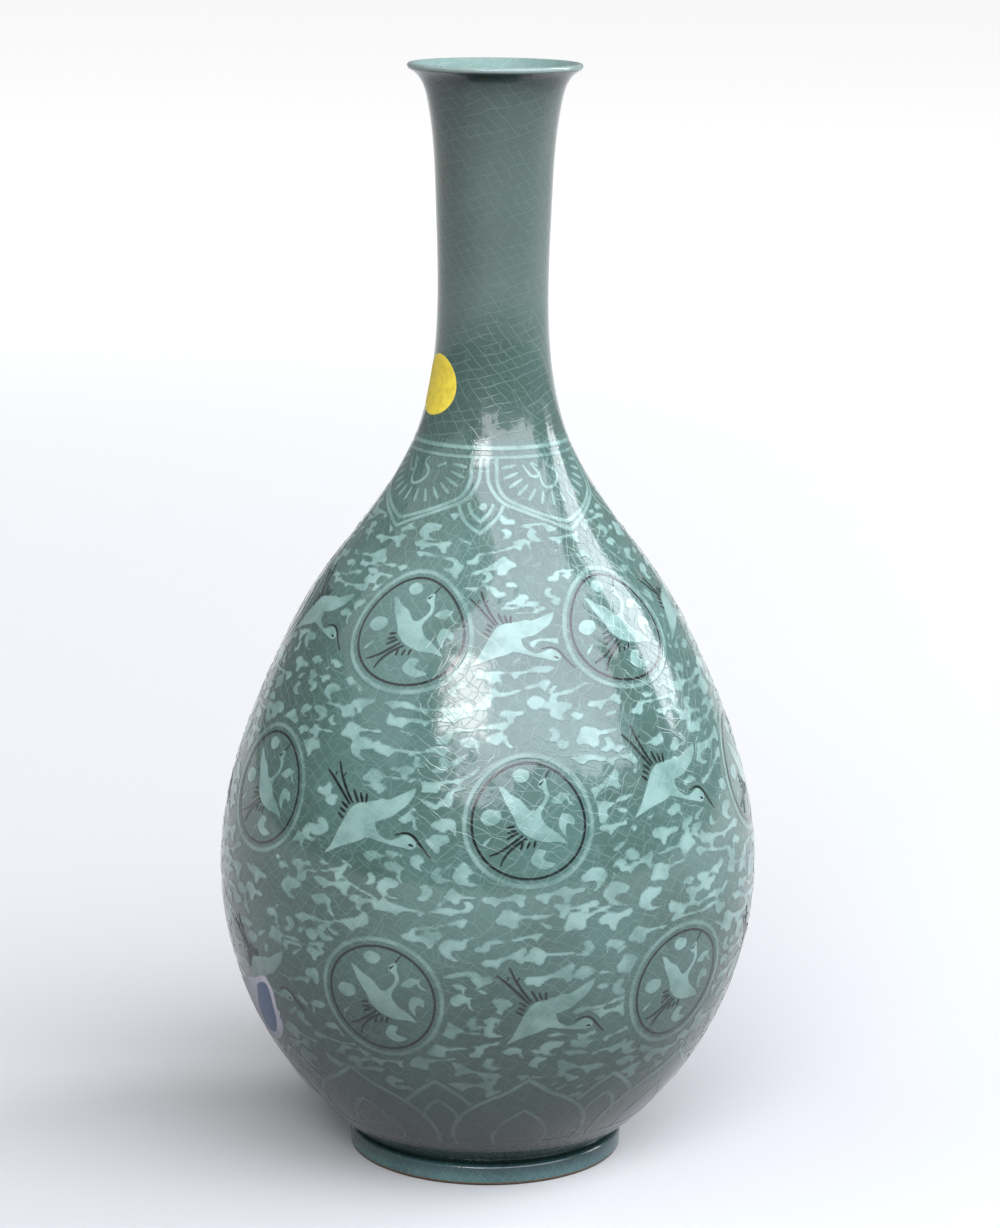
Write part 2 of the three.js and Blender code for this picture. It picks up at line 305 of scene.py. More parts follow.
@dataclass
class Draft:
    """Faces with their corner normals, gathered before they become one mesh.

    Slip sits a depth in the clay. The edges of its lines and of its figures lean outwards a little, and stand
    a share of the middle's lift proud. A figure has points inside it by a grain, and thins out over a fade.
    """

    depth: float = 0.35
    line_lean: float = 0.08
    figure_lean: float = 0.06
    edge_lift: float = 0.4
    grain: float = 1.8
    fade: float = 0.4
    points: list[np.ndarray] = field(default_factory=list)
    faces: list[list[int]] = field(default_factory=list)
    corners: list[np.ndarray] = field(default_factory=list)
    finishes: list[int] = field(default_factory=list)
    cover: list[np.ndarray] = field(default_factory=list)
    count: int = 0

    def add(
        self,
        points: np.ndarray,
        normals: np.ndarray,
        groups: Sequence[np.ndarray],
        finish: int = 0,
        cover: np.ndarray | None = None,
    ) -> None:
        """Adds faces.

        Args:
            points: Their points in millimetres.
            normals: The normal at each point.
            groups: Arrays of faces, each with faces of one size.
            finish: The number of their material slot.
            cover: How fully slip covers the clay at each point; fully, unless given.
        """
        self.points.append(points)
        self.cover.append(np.ones(len(points)) if cover is None else cover)
        for faces in groups:
            self.faces.extend((faces + self.count).tolist())
            self.corners.append(normals[faces].reshape(-1, 3))
            self.finishes.extend([finish] * len(faces))
        self.count += len(points)

    def piece(
        self, name: str, finishes: Sequence[bpy.types.Material], slot: str, replaces: Sequence[str] = ()
    ) -> None:
        """Makes the mesh a piece of the vase.

        Args:
            name: The piece's name.
            finishes: The materials of its slots.
            slot: The record's material slot; not used.
            replaces: CAD nodes that it stands for.
        """
        mesh = bpy.data.meshes.new(name)
        mesh.from_pydata((np.concatenate(self.points) * MM).tolist(), [], self.faces)
        for finish in finishes:
            mesh.materials.append(finish)
        mesh.polygons.foreach_set("material_index", self.finishes)
        mesh.polygons.foreach_set("use_smooth", [True] * len(self.faces))
        mesh.normals_split_custom_set(unit(np.concatenate(self.corners)).tolist())
        mesh.attributes.new("cover", "FLOAT", "POINT").data.foreach_set("value", np.concatenate(self.cover))
        piece = bpy.data.objects.new(name, mesh)
        bpy.context.scene.collection.objects.link(piece)
        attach(piece, BODY)
        if replaces:
            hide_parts(*replaces)
        LOG.info("%s: %d faces", name, len(self.faces))

    def turn(self, runs: Sequence[Laid], sides: int, finish: int = 0) -> None:
        """Turns a profile about the axis.

        Args:
            runs: Smooth stretches of the profile that follow each other, with the directions square to them.
            sides: Facets round the axis.
            finish: The number of the material slot.
        """
        angle = 2 * math.pi * np.arange(sides) / sides
        sine, cosine = np.sin(angle), np.cos(angle)
        j = np.arange(sides)
        k = (j + 1) % sides
        for spots, squares in runs:
            ring, normal = (
                np.stack([flat[:, :1] * sine, -flat[:, :1] * cosine, flat[:, 1:] * np.ones(sides)], axis=-1)
                for flat in (spots, squares)
            )
            rows = np.arange(len(spots) - 1)[:, None] * sides
            faces = np.stack([rows + j, rows + k, rows + sides + k, rows + sides + j], axis=-1)
            self.add(ring.reshape(-1, 3), normal.reshape(-1, 3), [faces.reshape(-1, 4)], finish)

    def band(
        self,
        laid: Laid,
        widths: float | Sequence[float],
        lift: float,
        finish: int = 0,
        closed: bool = False,
        core: float = 0.4,
        full: float = 1.0,
    ) -> None:
        """Fills a line of slip, with its edges softened by the glaze.

        Args:
            laid: The points of its middle on the clay, and the directions out of the clay.
            widths: Its width, or its widths from end to end.
            lift: How far its middle stands proud.
            finish: The number of the material slot.
            closed: Whether it comes back to its start.
            core: The share of its width where the slip is thickest.
            full: How fully the slip covers the clay there.
        """
        points, normals = laid
        if closed:
            along = unit(np.roll(points, -1, axis=0) - np.roll(points, 1, axis=0))
        else:
            along = unit(np.gradient(points, axis=0))
        side = unit(np.cross(along, normals))
        knots = np.linspace(0, 1, np.size(widths))
        run = np.linspace(0, 1, len(points))
        half = np.interp(run, knots, np.atleast_1d(widths))[:, None] / 2
        edge, lean = self.edge_lift * lift, self.line_lean
        section = [(-1, -self.depth, -3), (-1, edge, -lean), (-core, lift, 0)]
        section += [(core, lift, 0), (1, edge, lean), (1, -self.depth, 3)]
        cover = np.tile([0.0, 0.0, full, full, 0.0, 0.0], len(points))
        rings = np.stack([points + side * half * across + normals * up for across, up, _ in section], axis=1)
        leans = np.stack([unit(normals + side * lean) for _, _, lean in section], axis=1)
        size = len(section)
        i = np.arange(len(points) if closed else len(points) - 1)[:, None]
        k = np.arange(size)
        ahead, beside = (i + 1) % len(points), (k + 1) % size
        faces = np.stack([i * size + k, i * size + beside, ahead * size + beside, ahead * size + k], axis=-1)
        last = (len(points) - 1) * size
        ends = [] if closed else [np.stack([np.arange(size)[::-1], np.arange(size) + last])]
        self.add(rings.reshape(-1, 3), leans.reshape(-1, 3), [faces.reshape(-1, 4), *ends], finish, cover)

    def patch(self, outline: np.ndarray, spot: Spot, lift: float, finish: int = 0) -> None:
        """Fills a cut-out figure with slip, with its edges softened by the glaze.

        Args:
            outline: The flat outline of the figure.
            spot: Where it lies.
            lift: How far its middle stands proud.
            finish: The number of the material slot.
        """
        low, high = outline.min(0), outline.max(0)
        # The rows of a net of even triangles lie 0.87 of a side apart.
        grid = [
            (x + (row % 2) * self.grain / 2, y)
            for row, y in enumerate(np.arange(low[1] + self.grain / 3, high[1], self.grain * 0.87))
            for x in np.arange(low[0], high[0], self.grain)
        ]
        grid = np.array(grid).reshape(-1, 2)
        inner = grid[depth_in(grid, outline) > self.fade + 0.4 * self.grain]
        along = unit(np.roll(outline, -1, axis=0) - np.roll(outline, 1, axis=0))
        across = np.stack([-along[:, 1], along[:, 0]], axis=1) * self.fade
        inset = np.concatenate([outline + across, outline - across])
        inset = inset[depth_in(inset, outline) > 0.8 * self.fade]
        flat = np.concatenate([outline, inset, inner])
        ring = [(i, (i + 1) % len(outline)) for i in range(len(outline))]
        found = delaunay_2d_cdt([Vector(p) for p in flat], ring, [], 1, 1e-5, False)
        drawing = np.array([tuple(v) for v in found[0]])
        faces = np.array([tuple(f) for f in found[2]])
        faces = faces[depth_in(drawing[faces].mean(axis=1), outline) > 0]
        if spot.mirrored:
            faces = faces[:, ::-1]
        edges = np.concatenate([faces[:, [0, 1]], faces[:, [1, 2]], faces[:, [2, 0]]]).tolist()
        known = {tuple(edge) for edge in edges}
        rim = np.array([edge for edge in edges if (edge[1], edge[0]) not in known])
        self.shell(spot.laid(drawing), [faces], rim, lift, finish)

    def shell(
        self,
        laid: Laid,
        groups: Sequence[np.ndarray],
        rim: np.ndarray,
        lift: float,
        finish: int = 0,
        cover: np.ndarray | None = None,
    ) -> None:
        """Thickens faces on the clay to a closed body of slip.

        Args:
            laid: Their points on the clay, and the directions out of the clay.
            groups: Arrays of faces, each with faces of one size.
            rim: Pairs of points along their edge, as the faces run.
            lift: How far their middle stands proud.
            finish: The number of the material slot.
            cover: How fully the slip covers the clay at each point; nowhere on its edge, unless given.
        """
        points, normals = laid
        away = unit(np.cross(points[rim[:, 1]] - points[rim[:, 0]], normals[rim[:, 0]]))
        lean = np.zeros_like(points)
        np.add.at(lean, rim[:, 0], away)
        np.add.at(lean, rim[:, 1], away)
        lean = unit(lean)
        on_rim = np.zeros(len(points), bool)
        on_rim[rim.ravel()] = True
        size = len(points)
        raised = points + normals * np.where(on_rim, self.edge_lift * lift, lift)[:, None]
        shaded = np.concatenate([unit(normals + lean * self.figure_lean), unit(lean - normals)])
        walls = np.stack([rim[:, 1], rim[:, 0], rim[:, 0] + size, rim[:, 1] + size], axis=1)
        both = np.concatenate([raised, points - normals * self.depth])
        cover = np.tile(np.where(on_rim, 0.0, 1.0) if cover is None else cover, 2)
        groups = [*groups, *(group[:, ::-1] + size for group in groups), walls]
        self.add(both, shaded, groups, finish, cover)


def depth_in(points: np.ndarray, outline: np.ndarray) -> np.ndarray:
    """Tells how deep points lie inside an outline.

    Args:
        points: The points.
        outline: The closed outline.

    Returns:
        The distance of each point from the outline, negative outside it.
    """
    start, end = outline, np.roll(outline, -1, axis=0)
    p = points[:, None, :]
    crosses = (start[:, 1] > p[..., 1]) != (end[:, 1] > p[..., 1])
    rise = np.where(end[:, 1] == start[:, 1], 1e-9, end[:, 1] - start[:, 1])
    across = start[:, 0] + (p[..., 1] - start[:, 1]) * (end[:, 0] - start[:, 0]) / rise
    inside = (crosses & (p[..., 0] < across)).sum(axis=1) % 2 == 1
    span = end - start
    share = np.clip(((p - start) * span).sum(-1) / np.maximum((span**2).sum(-1), 1e-12), 0, 1)
    distance = np.linalg.norm(p - (start + share[..., None] * span), axis=-1).min(axis=1)
    return np.where(inside, distance, -distance)


class Slip(Enum):
    """The two slips, by the record's material slot."""

    WHITE = "white_slip"
    BLACK = "black_slip"


@dataclass(frozen=True)
class Finish(ABC):
    """A finish of the vase, by the name of its material."""

    name: str

    @abstractmethod
    def look(self, tree: Tree, place: Socket) -> dict[str, Socket | float]:
        """Paints the finish.

        Args:
            tree: The material's nodes.
            place: The point on the vase.

        Returns:
            What the inputs of the shader get.
        """

    def build(self) -> bpy.types.Material:
        """Makes the finish.

        Returns:
            The material.
        """
        material = bpy.data.materials.new(self.name)
        material.use_nodes = True
        tree = material.node_tree
        shader = tree.nodes["Principled BSDF"]
        for name, value in self.look(tree, add_node(tree, "TexCoord", out="Object")).items():
            if isinstance(value, Socket):
                tree.links.new(value, shader.inputs[name])
            else:
                shader.inputs[name].default_value = value
        return material


@dataclass(frozen=True)
class CeladonGlaze(Finish):
    """Iron-bearing feldspar glaze, dipped and fired in reduction over grey stoneware.

    It is glossy and glassy, its green-grey drifts with its thickness, and it has crazed as it cooled: the
    eye sees long pale cracks that climb round the vase and cross, with a finer net between them, each a
    little raised by the light that it catches. It runs thin and pale over the lip. Between two given heights
    its colour is multiplied darker towards the second: on the body and the foot this is painted shade, partly
    glaze gathered thick.
    """

    thin: str
    thick: str
    hairline: str
    drift_length: float = 41.6667
    cell: float = 4.4
    cell_turn: float = -20.0
    cell_squash: tuple[float, float, float] = (0.8, 0.8, 1.2)
    # Of each family of long cracks, how many pass round the vase, and the rise from one to the next.
    cracks: tuple[tuple[int, float], ...] = ((70, 4.16667), (-96, 6.06061))
    mean_radius: float = 70.0
    bend: float = 2.2
    bend_length: float = 11.7647
    break_length: float = 8.33333
    broken_off: tuple[float, float] = (0.4, 0.47)
    bend_seed: float = 3.7
    break_seed: float = 9.1
    phase_start: float = 400.0
    short_cracks: float = 0.55
    hairline_width: float = 0.2
    relief: float = 0.022
    hairline_strength: float = 0.4
    roughness: float = 0.06
    refraction: float = 1.54
    ripple: float = 0.12
    ripple_length: float = 14.2857
    lip: str = "#a6bab6"
    lip_height: float = 343.2
    lip_fade: float = 1.2
    # A tint multiplied in between two heights, fully at the second: on the body and the foot painted shade,
    # partly glaze gathered thick.
    pool_and_shade_tint: str = "#c2c9c2"
    pool_and_shade_heights: tuple[float, float] = (80.0, 16.0)

    def look(self, tree: Tree, place: Socket) -> dict[str, Socket | float]:
        """Paints the glaze, with what lies under it and the hairlines over it.

        Args:
            tree: The material's nodes.
            place: The point on the vase.

        Returns:
            What the inputs of the shader get.
        """
        height = add_node(tree, "SeparateXYZ", links={0: place}, out="Z")
        glaze = self.drift(tree, place, self.thin, self.thick, self.drift_length)
        rise = {"From Min": self.lip_height * MM, "From Max": (self.lip_height + self.lip_fade) * MM}
        settings = {"data_type": "RGBA", SECOND: linear(self.lip)}
        links = {SHARE: add_node(tree, "MapRange", rise, {"Value": height}), FIRST: glaze}
        glaze = add_node(tree, "Mix", settings, links, BLENDED)
        net = self.crazing(tree, place)
        strength = add_node(tree, "Math", {"operation": "MULTIPLY", 1: self.hairline_strength}, {0: net})
        settings = {"data_type": "RGBA", SECOND: linear(self.hairline)}
        links = {SHARE: strength, FIRST: self.inlaid(tree, place, glaze)}
        colour = add_node(tree, "Mix", settings, links, BLENDED)
        # Painted shade, partly glaze gathered thick: the colour is multiplied darker between the two heights.
        fall = {"From Min": self.pool_and_shade_heights[0] * MM, "From Max": self.pool_and_shade_heights[1] * MM}
        settings = {"data_type": "RGBA", "blend_type": "MULTIPLY", SECOND: linear(self.pool_and_shade_tint)}
        links = {SHARE: add_node(tree, "MapRange", fall, {"Value": height}), FIRST: colour}
        colour = add_node(tree, "Mix", settings, links, BLENDED)
        waves = {"Scale": per_metre(self.ripple_length), "Detail": 2.0, "Roughness": 0.5}
        waves = add_node(tree, "TexNoise", waves, {"Vector": place})
        wavy = add_node(tree, "Bump", {"Strength": 1.0, "Distance": self.ripple * MM}, {"Height": waves})
        settings = {"Strength": 1.0, "Distance": self.relief * MM}
        raised = add_node(tree, "Bump", settings, {"Height": net, "Normal": wavy})
        return {"Base Color": colour, "Normal": raised, "IOR": self.refraction, "Roughness": self.roughness}

    def drift(self, tree: Tree, place: Socket, first: str, second: str, length: float) -> Socket:
        """Lets one colour drift into another.

        Args:
            tree: The material's nodes.
            place: The point on the clay.
            first: One colour.
            second: The other.
            length: How far it is from one change to the next, in millimetres.

        Returns:
            The colour at each point.
        """
        settings = {"Scale": per_metre(length), "Detail": 4.0, "Roughness": 0.55}
        cloudy = add_node(tree, "TexNoise", settings, {"Vector": place})
        settings = {"From Min": 0.34, "From Max": 0.66, "interpolation_type": "SMOOTHSTEP"}
        share = add_node(tree, "MapRange", settings, {"Value": cloudy})
        settings = {"data_type": "RGBA", FIRST: linear(first), SECOND: linear(second)}
        return add_node(tree, "Mix", settings, {SHARE: share}, BLENDED)

    def inlaid(self, tree: Tree, place: Socket, glaze: Socket) -> Socket:
        """Leaves the colour as it is, for there is no slip under the bare glaze."""
        return glaze

    def hairline_at(self, tree: Tree, distance: Socket, per_mm: float, depth: float) -> Socket:
        """Draws a hairline where a distance is near zero.

        Args:
            tree: The material's nodes.
            distance: The distance.
            per_mm: How much of it is a millimetre.
            depth: How strong the hairline is.

        Returns:
            The strength of the hairline at each point.
        """
        # A real hairline is about 0.1 mm wide, too fine to show, so it is drawn twice as wide.
        reach = self.hairline_width / 2 * per_mm
        settings = {"From Min": 0.2 * reach, "From Max": 1.8 * reach, "To Min": depth, "To Max": 0.0}
        settings["interpolation_type"] = "SMOOTHSTEP"
        return add_node(tree, "MapRange", settings, {"Value": distance})

    def long_cracks(self, tree: Tree, place: Socket, number: int) -> Socket:
        """Draws one family of long cracks that climb round the vase and break off here and there.

        Args:
            tree: The material's nodes.
            place: The point on the clay.
            number: Which family.

        Returns:
            The strength of its hairlines at each point.
        """
        around, rise = self.cracks[number]
        x, y, z = (add_node(tree, "SeparateXYZ", links={0: place}, out=axis) for axis in "XYZ")
        back = add_node(tree, "Math", {"operation": "MULTIPLY", 1: -1.0}, {0: y})
        angle = add_node(tree, "Math", {"operation": "ARCTAN2"}, {0: x, 1: back})
        # Each family has its own part of the noise, and its phase starts high, as it may not pass zero.
        settings = {"noise_dimensions": "4D", "W": self.bend_seed * number, "Detail": 2.0, "Roughness": 0.45}
        settings["Scale"] = per_metre(self.bend_length)
        bend = add_node(tree, "TexNoise", settings, {"Vector": place})
        settings = {"operation": "MULTIPLY_ADD", 1: around / (2 * math.pi), 2: self.phase_start}
        phase = add_node(tree, "Math", settings, {0: angle})
        for measure, factor in ((z, per_metre(rise)), (bend, self.bend)):
            phase = add_node(tree, "Math", {"operation": "MULTIPLY_ADD", 1: factor}, {0: measure, 2: phase})
        distance = add_node(tree, "Math", {"operation": "PINGPONG", 1: 0.5}, {0: phase})
        per_mm = math.hypot(around / (2 * math.pi * self.mean_radius), 1 / rise)
        line = self.hairline_at(tree, distance, per_mm, 1.0)
        settings = {"noise_dimensions": "4D", "W": self.break_seed + number, "Detail": 1.0}
        settings["Scale"] = per_metre(self.break_length)
        patches = add_node(tree, "TexNoise", settings, {"Vector": place})
        settings = {"From Min": self.broken_off[0], "From Max": self.broken_off[1]}
        kept = add_node(tree, "MapRange", settings, {"Value": patches})
        return add_node(tree, "Math", {"operation": "MULTIPLY"}, {0: line, 1: kept})

    def crazing(self, tree: Tree, place: Socket) -> Socket:
        """Draws the hairlines: long cracks that cross, and a fainter net of short ones between them.

        Args:
            tree: The material's nodes.
            place: The point on the clay.

        Returns:
            The net, 1 on a hairline and 0 between.
        """
        scale = per_metre(self.cell)
        settings = {"Rotation": (0.0, math.radians(self.cell_turn), 0.0), "Scale": self.cell_squash}
        squashed = add_node(tree, "Mapping", settings, {"Vector": place})
        settings = {"feature": "DISTANCE_TO_EDGE", "Scale": scale, "Randomness": 0.85}
        distance = add_node(tree, "TexVoronoi", settings, {"Vector": squashed})
        net = self.hairline_at(tree, distance, scale * MM, self.short_cracks)
        for number in range(len(self.cracks)):
            line = self.long_cracks(tree, place, number)
            net = add_node(tree, "Math", {"operation": "MAXIMUM"}, {0: net, 1: line})
        return net


@dataclass(frozen=True)
class InlaidSlip(CeladonGlaze):
    """Slip pressed into the carved clay and scraped flush, under the same glaze as the body.

    The eye sees its colour through the glaze, uneven where the slip was pressed thin, and blurred at its
    edges where the glaze has drawn a little of it into the clay.
    """

    pale: str = "#8cb0a8"
    deep: str = "#6c9088"
    patch_length: float = 10.5263

    def inlaid(self, tree: Tree, place: Socket, glaze: Socket) -> Socket:
        """Lays the slip's colour over that of the glazed clay.

        Args:
            tree: The material's nodes.
            place: The point on the clay.
            glaze: The colour of the glazed clay.

        Returns:
            The colour at each point.
        """
        slip = self.drift(tree, place, self.pale, self.deep, self.patch_length)
        cover = add_node(tree, "Attribute", {"attribute_name": "cover"}, out="Fac")
        share = add_node(tree, "MapRange", {"interpolation_type": "SMOOTHSTEP"}, {"Value": cover})
        links = {SHARE: share, FIRST: glaze, SECOND: slip}
        return add_node(tree, "Mix", {"data_type": "RGBA"}, links, BLENDED)


@dataclass(frozen=True)
class BareStoneware(Finish):
    """Grey stoneware left bare where the glaze was wiped off, fired to a sandy brown, matt and gritty."""

    name: str = "stoneware_bare_fired_brown"
    pale: str = "#8a7a63"
    dark: str = "#4a3c2c"
    grit: float = 0.6
    grit_height: float = 0.1
    roughness: float = 0.85

    def look(self, tree: Tree, place: Socket) -> dict[str, Socket | float]:
        """Paints the bare clay.

        Args:
            tree: The material's nodes.
            place: The point on the vase.

        Returns:
            What the inputs of the shader get.
        """
        grains = {"Scale": per_metre(self.grit), "Detail": 3.0}
        grains = add_node(tree, "TexNoise", grains, {"Vector": place})
        settings = {"data_type": "RGBA", FIRST: linear(self.dark), SECOND: linear(self.pale)}
        colour = add_node(tree, "Mix", settings, {SHARE: grains}, BLENDED)
        settings = {"Strength": 1.0, "Distance": self.grit_height * MM}
        gritty = add_node(tree, "Bump", settings, {"Height": grains})
        return {"Base Color": colour, "Normal": gritty, "Roughness": self.roughness}


@dataclass(frozen=True)
class StickerPaper(Finish):
    """Coated label paper, calendered smooth and rubbed, with a faint mottle of fibres and soil."""

    clean: str
    soiled: str
    roughness: float = 0.55
    speck_length: float = 2.85714
    worn_from: float = 0.45
    worn_to: float = 0.75
    fibre_height: float = 0.03

    def look(self, tree: Tree, place: Socket) -> dict[str, Socket | float]:
        """Paints the paper.

        Args:
            tree: The material's nodes.
            place: The point on the vase.

        Returns:
            What the inputs of the shader get.
        """
        settings = {"Scale": per_metre(self.speck_length), "Detail": 6.0, "Roughness": 0.65}
        soil = add_node(tree, "TexNoise", settings, {"Vector": place})
        settings = {"From Min": self.worn_from, "From Max": self.worn_to}
        worn = add_node(tree, "MapRange", settings, {"Value": soil})
        settings = {"data_type": "RGBA", FIRST: linear(self.clean), SECOND: linear(self.soiled)}
        colour = add_node(tree, "Mix", settings, {SHARE: worn}, BLENDED)
        settings = {"Strength": 0.6, "Distance": self.fibre_height * MM}
        fibres = add_node(tree, "Bump", settings, {"Height": soil})
        return {"Base Color": colour, "Normal": fibres, "Roughness": self.roughness}


@dataclass
class Finishes:
    """Every finish of the vase, made once."""

    # Below 80 mm the body's colour is multiplied darker towards the foot: painted shade on the lower body,
    # partly glaze gathered thick. The white and black slips darken the same way.
    body: bpy.types.Material = field(
        default_factory=CeladonGlaze(
            "celadon_glaze_on_body", "#52736c", "#456159", "#7c9e95", hairline_strength=0.42
        ).build
    )
    # The neck's colour is multiplied darker from 245 mm up to 320 mm, towards the mouth.
    neck: bpy.types.Material = field(
        default_factory=CeladonGlaze(
            "celadon_glaze_on_neck", "#4f6961", "#445c54", "#7b988f", cell=4.6, mean_radius=19.0,
            bend=1.5, cracks=((29, 4.97512), (-10, 3.10559)), short_cracks=0.35, relief=0.013,
            hairline_strength=0.5, pool_and_shade_tint="#ccd3cf", pool_and_shade_heights=(245.0, 320.0),
        ).build
    )
    # Painted light: the inside of the mouth gets a much paler copy of the neck's glaze, standing in for light
    # falling into it from above.
    inside: bpy.types.Material = field(
        default_factory=CeladonGlaze(
            "celadon_glaze_inside_neck_painted_light", "#7b9790", "#6b8780", "#98b0a9", mean_radius=19.0,
            cracks=((22, 4.56621),), lip_height=400.0,
        ).build
    )
    # The foot ring's colour is multiplied darker towards its top, in the cove under the body: painted shade,
    # partly glaze gathered thick.
    foot: bpy.types.Material = field(
        default_factory=CeladonGlaze(
            "celadon_glaze_on_foot_pooled_and_shaded", "#5a8080", "#436566", "#7d9c99", mean_radius=43.0,
            pool_and_shade_tint="#8a9694", pool_and_shade_heights=(2.5, 6.6),
        ).build
    )
    white: bpy.types.Material = field(
        default_factory=InlaidSlip(
            "white_slip_under_glaze", "#52736c", "#456159", "#9fbcb4", hairline_strength=0.32
        ).build
    )
    black: bpy.types.Material = field(
        default_factory=InlaidSlip(
            "black_slip_under_glaze", "#465e57", "#3d524c", "#5b6d6d", hairline_strength=0.2,
            pale="#0f1a1a", deep="#172627",
        ).build
    )
    bare: bpy.types.Material = field(default_factory=BareStoneware().build)
    yellow_paper: bpy.types.Material = field(
        default_factory=StickerPaper("label_paper_yellow", "#f3dd4c", "#cfba3c").build
    )
    white_paper: bpy.types.Material = field(
        default_factory=StickerPaper("label_paper_white_torn", "#f4f4fc", "#d6d9ea").build
    )
    blue_paper: bpy.types.Material = field(
        default_factory=StickerPaper("label_paper_blue_print", "#566f98", "#47617c", 0.4).build
    )

    def slip(self, kind: Slip) -> bpy.types.Material:
        """The finish of a slip."""
        return self.white if kind is Slip.WHITE else self.black


def runs_of(points: np.ndarray) -> Laid:
    """Gives a smooth stretch of a profile the directions square to it."""
    along = unit(np.gradient(points, axis=0))
    return points, np.stack([along[:, 1], -along[:, 0]], axis=1)


def arc(centre: tuple[float, float], radius: float, start: float, through: float, steps: int) -> np.ndarray:
    """Draws an arc.

    Args:
        centre: Its centre.
        radius: Its radius.
        start: The angle where it begins, in degrees.
        through: The angle that it turns through, in degrees.
        steps: Its number of steps.

    Returns:
        Points along it.
    """
    angle = np.radians(start + through * np.arange(steps + 1) / steps)
    return np.array(centre) + radius * np.stack([np.cos(angle), np.sin(angle)], axis=1)


@dataclass
class ThrownBody:
    """The four thrown sections: foot ring, bowl, shoulder and neck."""

    form: ThrownForm
    finishes: Finishes
    sides: int = 288
    row: float = 1.5
    bowl_steps: int = 24
    lip_steps: int = 16
    edge_steps: int = 8
    foot_radius: float = 43.7
    foot_width: float = 7.4
    foot_height: float = 6.6
    floor_height: float = 14.6
    heel_rise: float = 17.0
    belly_seam: float = 99.0
    neck_seam: float = float(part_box("neck")[0].z / MM)
    lip_wall: float = 2.0
    contact_round: float = 1.1
    contact_inset: float = 1.2
    ledge_round: float = 1.3
    chamfer: float = 1.6
    dish: float = 1.2

    def outside(self, low: float, high: float) -> Laid:
        """Draws the outside between two heights, from the lower one up."""
        start, end = self.form.place_of(low), self.form.place_of(high)
        return self.form.at(np.linspace(start, end, max(2, math.ceil((end - start) / self.row))))

    def inside(self, high: float, low: float) -> Laid:
        """Draws the inside between two heights.

        Args:
            high: The upper height, where it begins.
            low: The lower one.

        Returns:
            The points of the profile, and the directions square to it.
        """
        spots, squares = self.form.at(self.form.places[::20])
        inner = spots - squares * self.form.wall(spots[:, 1])[:, None]
        heights = np.linspace(high, low, max(2, math.ceil((high - low) / (2 * self.row))))
        return runs_of(np.stack([np.interp(heights, inner[:, 1], inner[:, 0]), heights], axis=1))

    def foot_ring(self) -> None:
        """The turned foot ring: glazed outside, bare on its contact edge and inside it."""
        top, outer, inner = self.foot_height, self.foot_radius, self.foot_radius - self.foot_width
        draft = Draft()
        contact, ledge = self.contact_round, self.ledge_round
        edge = arc((outer - self.contact_inset, contact), contact, -90, 90, self.edge_steps)
        sole = np.array([(inner + self.chamfer, 0.0), tuple(edge[0])])
        draft.turn([runs_of(sole), runs_of(edge)], self.sides, 1)
        ledge_arc = arc((outer - ledge, top - ledge), ledge, 0, 90, self.edge_steps)
        face = np.concatenate([edge[-1:], ledge_arc])
        draft.turn([runs_of(face)], self.sides)
        draft.turn([runs_of(np.array([(face[-1][0], top), (inner, top)]))], self.sides)
        back = [(inner, top), (inner, self.chamfer), (inner + self.chamfer, 0.0)]
        draft.turn([runs_of(np.array(pair)) for pair in zip(back, back[1:])], self.sides, 1)
        finishes = (self.finishes.foot, self.finishes.bare)
        draft.piece("glazed_foot_ring", finishes, "foot_glaze", ("foot_ring",))

    def lower_body(self) -> None:
        """The bowl, from the dished base to the seam above the belly."""
        draft = Draft()
        hollow = (0.0, self.foot_height + self.dish)
        base = np.array([hollow, (self.foot_radius - self.foot_width, self.foot_height)])
        outside = self.outside(self.foot_height, self.belly_seam)
        walls = self.inside(self.belly_seam, self.floor_height + self.heel_rise)
        heel = walls[0][-1]
        down = unit(heel - walls[0][-2])
        t = np.linspace(0, 1, self.bowl_steps + 1)[:, None]
        bowl = (
            (1 - t) ** 3 * heel
            + 3 * (1 - t) ** 2 * t * (heel + down * self.heel_rise)
            + 3 * (1 - t) * t**2 * np.array([heel[0] / 2, self.floor_height])
            + t**3 * np.array([0.0, self.floor_height])
        )
        seat = np.stack([base[-1], outside[0][0]])
        seam = np.stack([outside[0][-1], walls[0][0]])
        runs = [runs_of(base), runs_of(seat), outside, runs_of(seam), walls, runs_of(bowl)]
        draft.turn(runs, self.sides)
        draft.piece("glazed_lower_body", (self.finishes.body,), "celadon_body", ("lower_body",))

    def upper_body(self) -> None:
        """The shoulder, from the seam above the belly to the collar."""
        draft = Draft()
        outside = self.outside(self.belly_seam, self.neck_seam)
        walls = self.inside(self.neck_seam, self.belly_seam)
        top = np.stack([outside[0][-1], walls[0][0]])
        seam = np.stack([walls[0][-1], outside[0][0]])
        draft.turn([outside, runs_of(top), walls, runs_of(seam)], self.sides)
        draft.piece("glazed_upper_body", (self.finishes.body,), "celadon_body", ("upper_body",))

    def neck(self) -> None:
        """The neck, with its flared mouth and its rounded lip."""
        draft = Draft()
        mouth = self.form.stations[-1][1]
        outside = self.outside(self.neck_seam, mouth)
        spot, square = outside[0][-1], outside[1][-1]
        centre = spot - square * self.lip_wall / 2
        lean = math.degrees(math.atan2(square[1], square[0]))
        lip = arc(tuple(centre), self.lip_wall / 2, lean, 180, self.lip_steps)
        walls = self.inside(float(lip[-1][1]), self.neck_seam)
        walls[0][0] = lip[-1]
        seam = np.stack([walls[0][-1], outside[0][0]])
        draft.turn([outside, runs_of(lip)], self.sides)
        draft.turn([walls, runs_of(seam)], self.sides, 1)
        draft.piece("glazed_neck", (self.finishes.neck, self.finishes.inside), "celadon_neck", ("neck",))

    def build(self) -> None:
        """Builds the four sections."""
        self.foot_ring()
        self.lower_body()
        self.upper_body()
        self.neck()


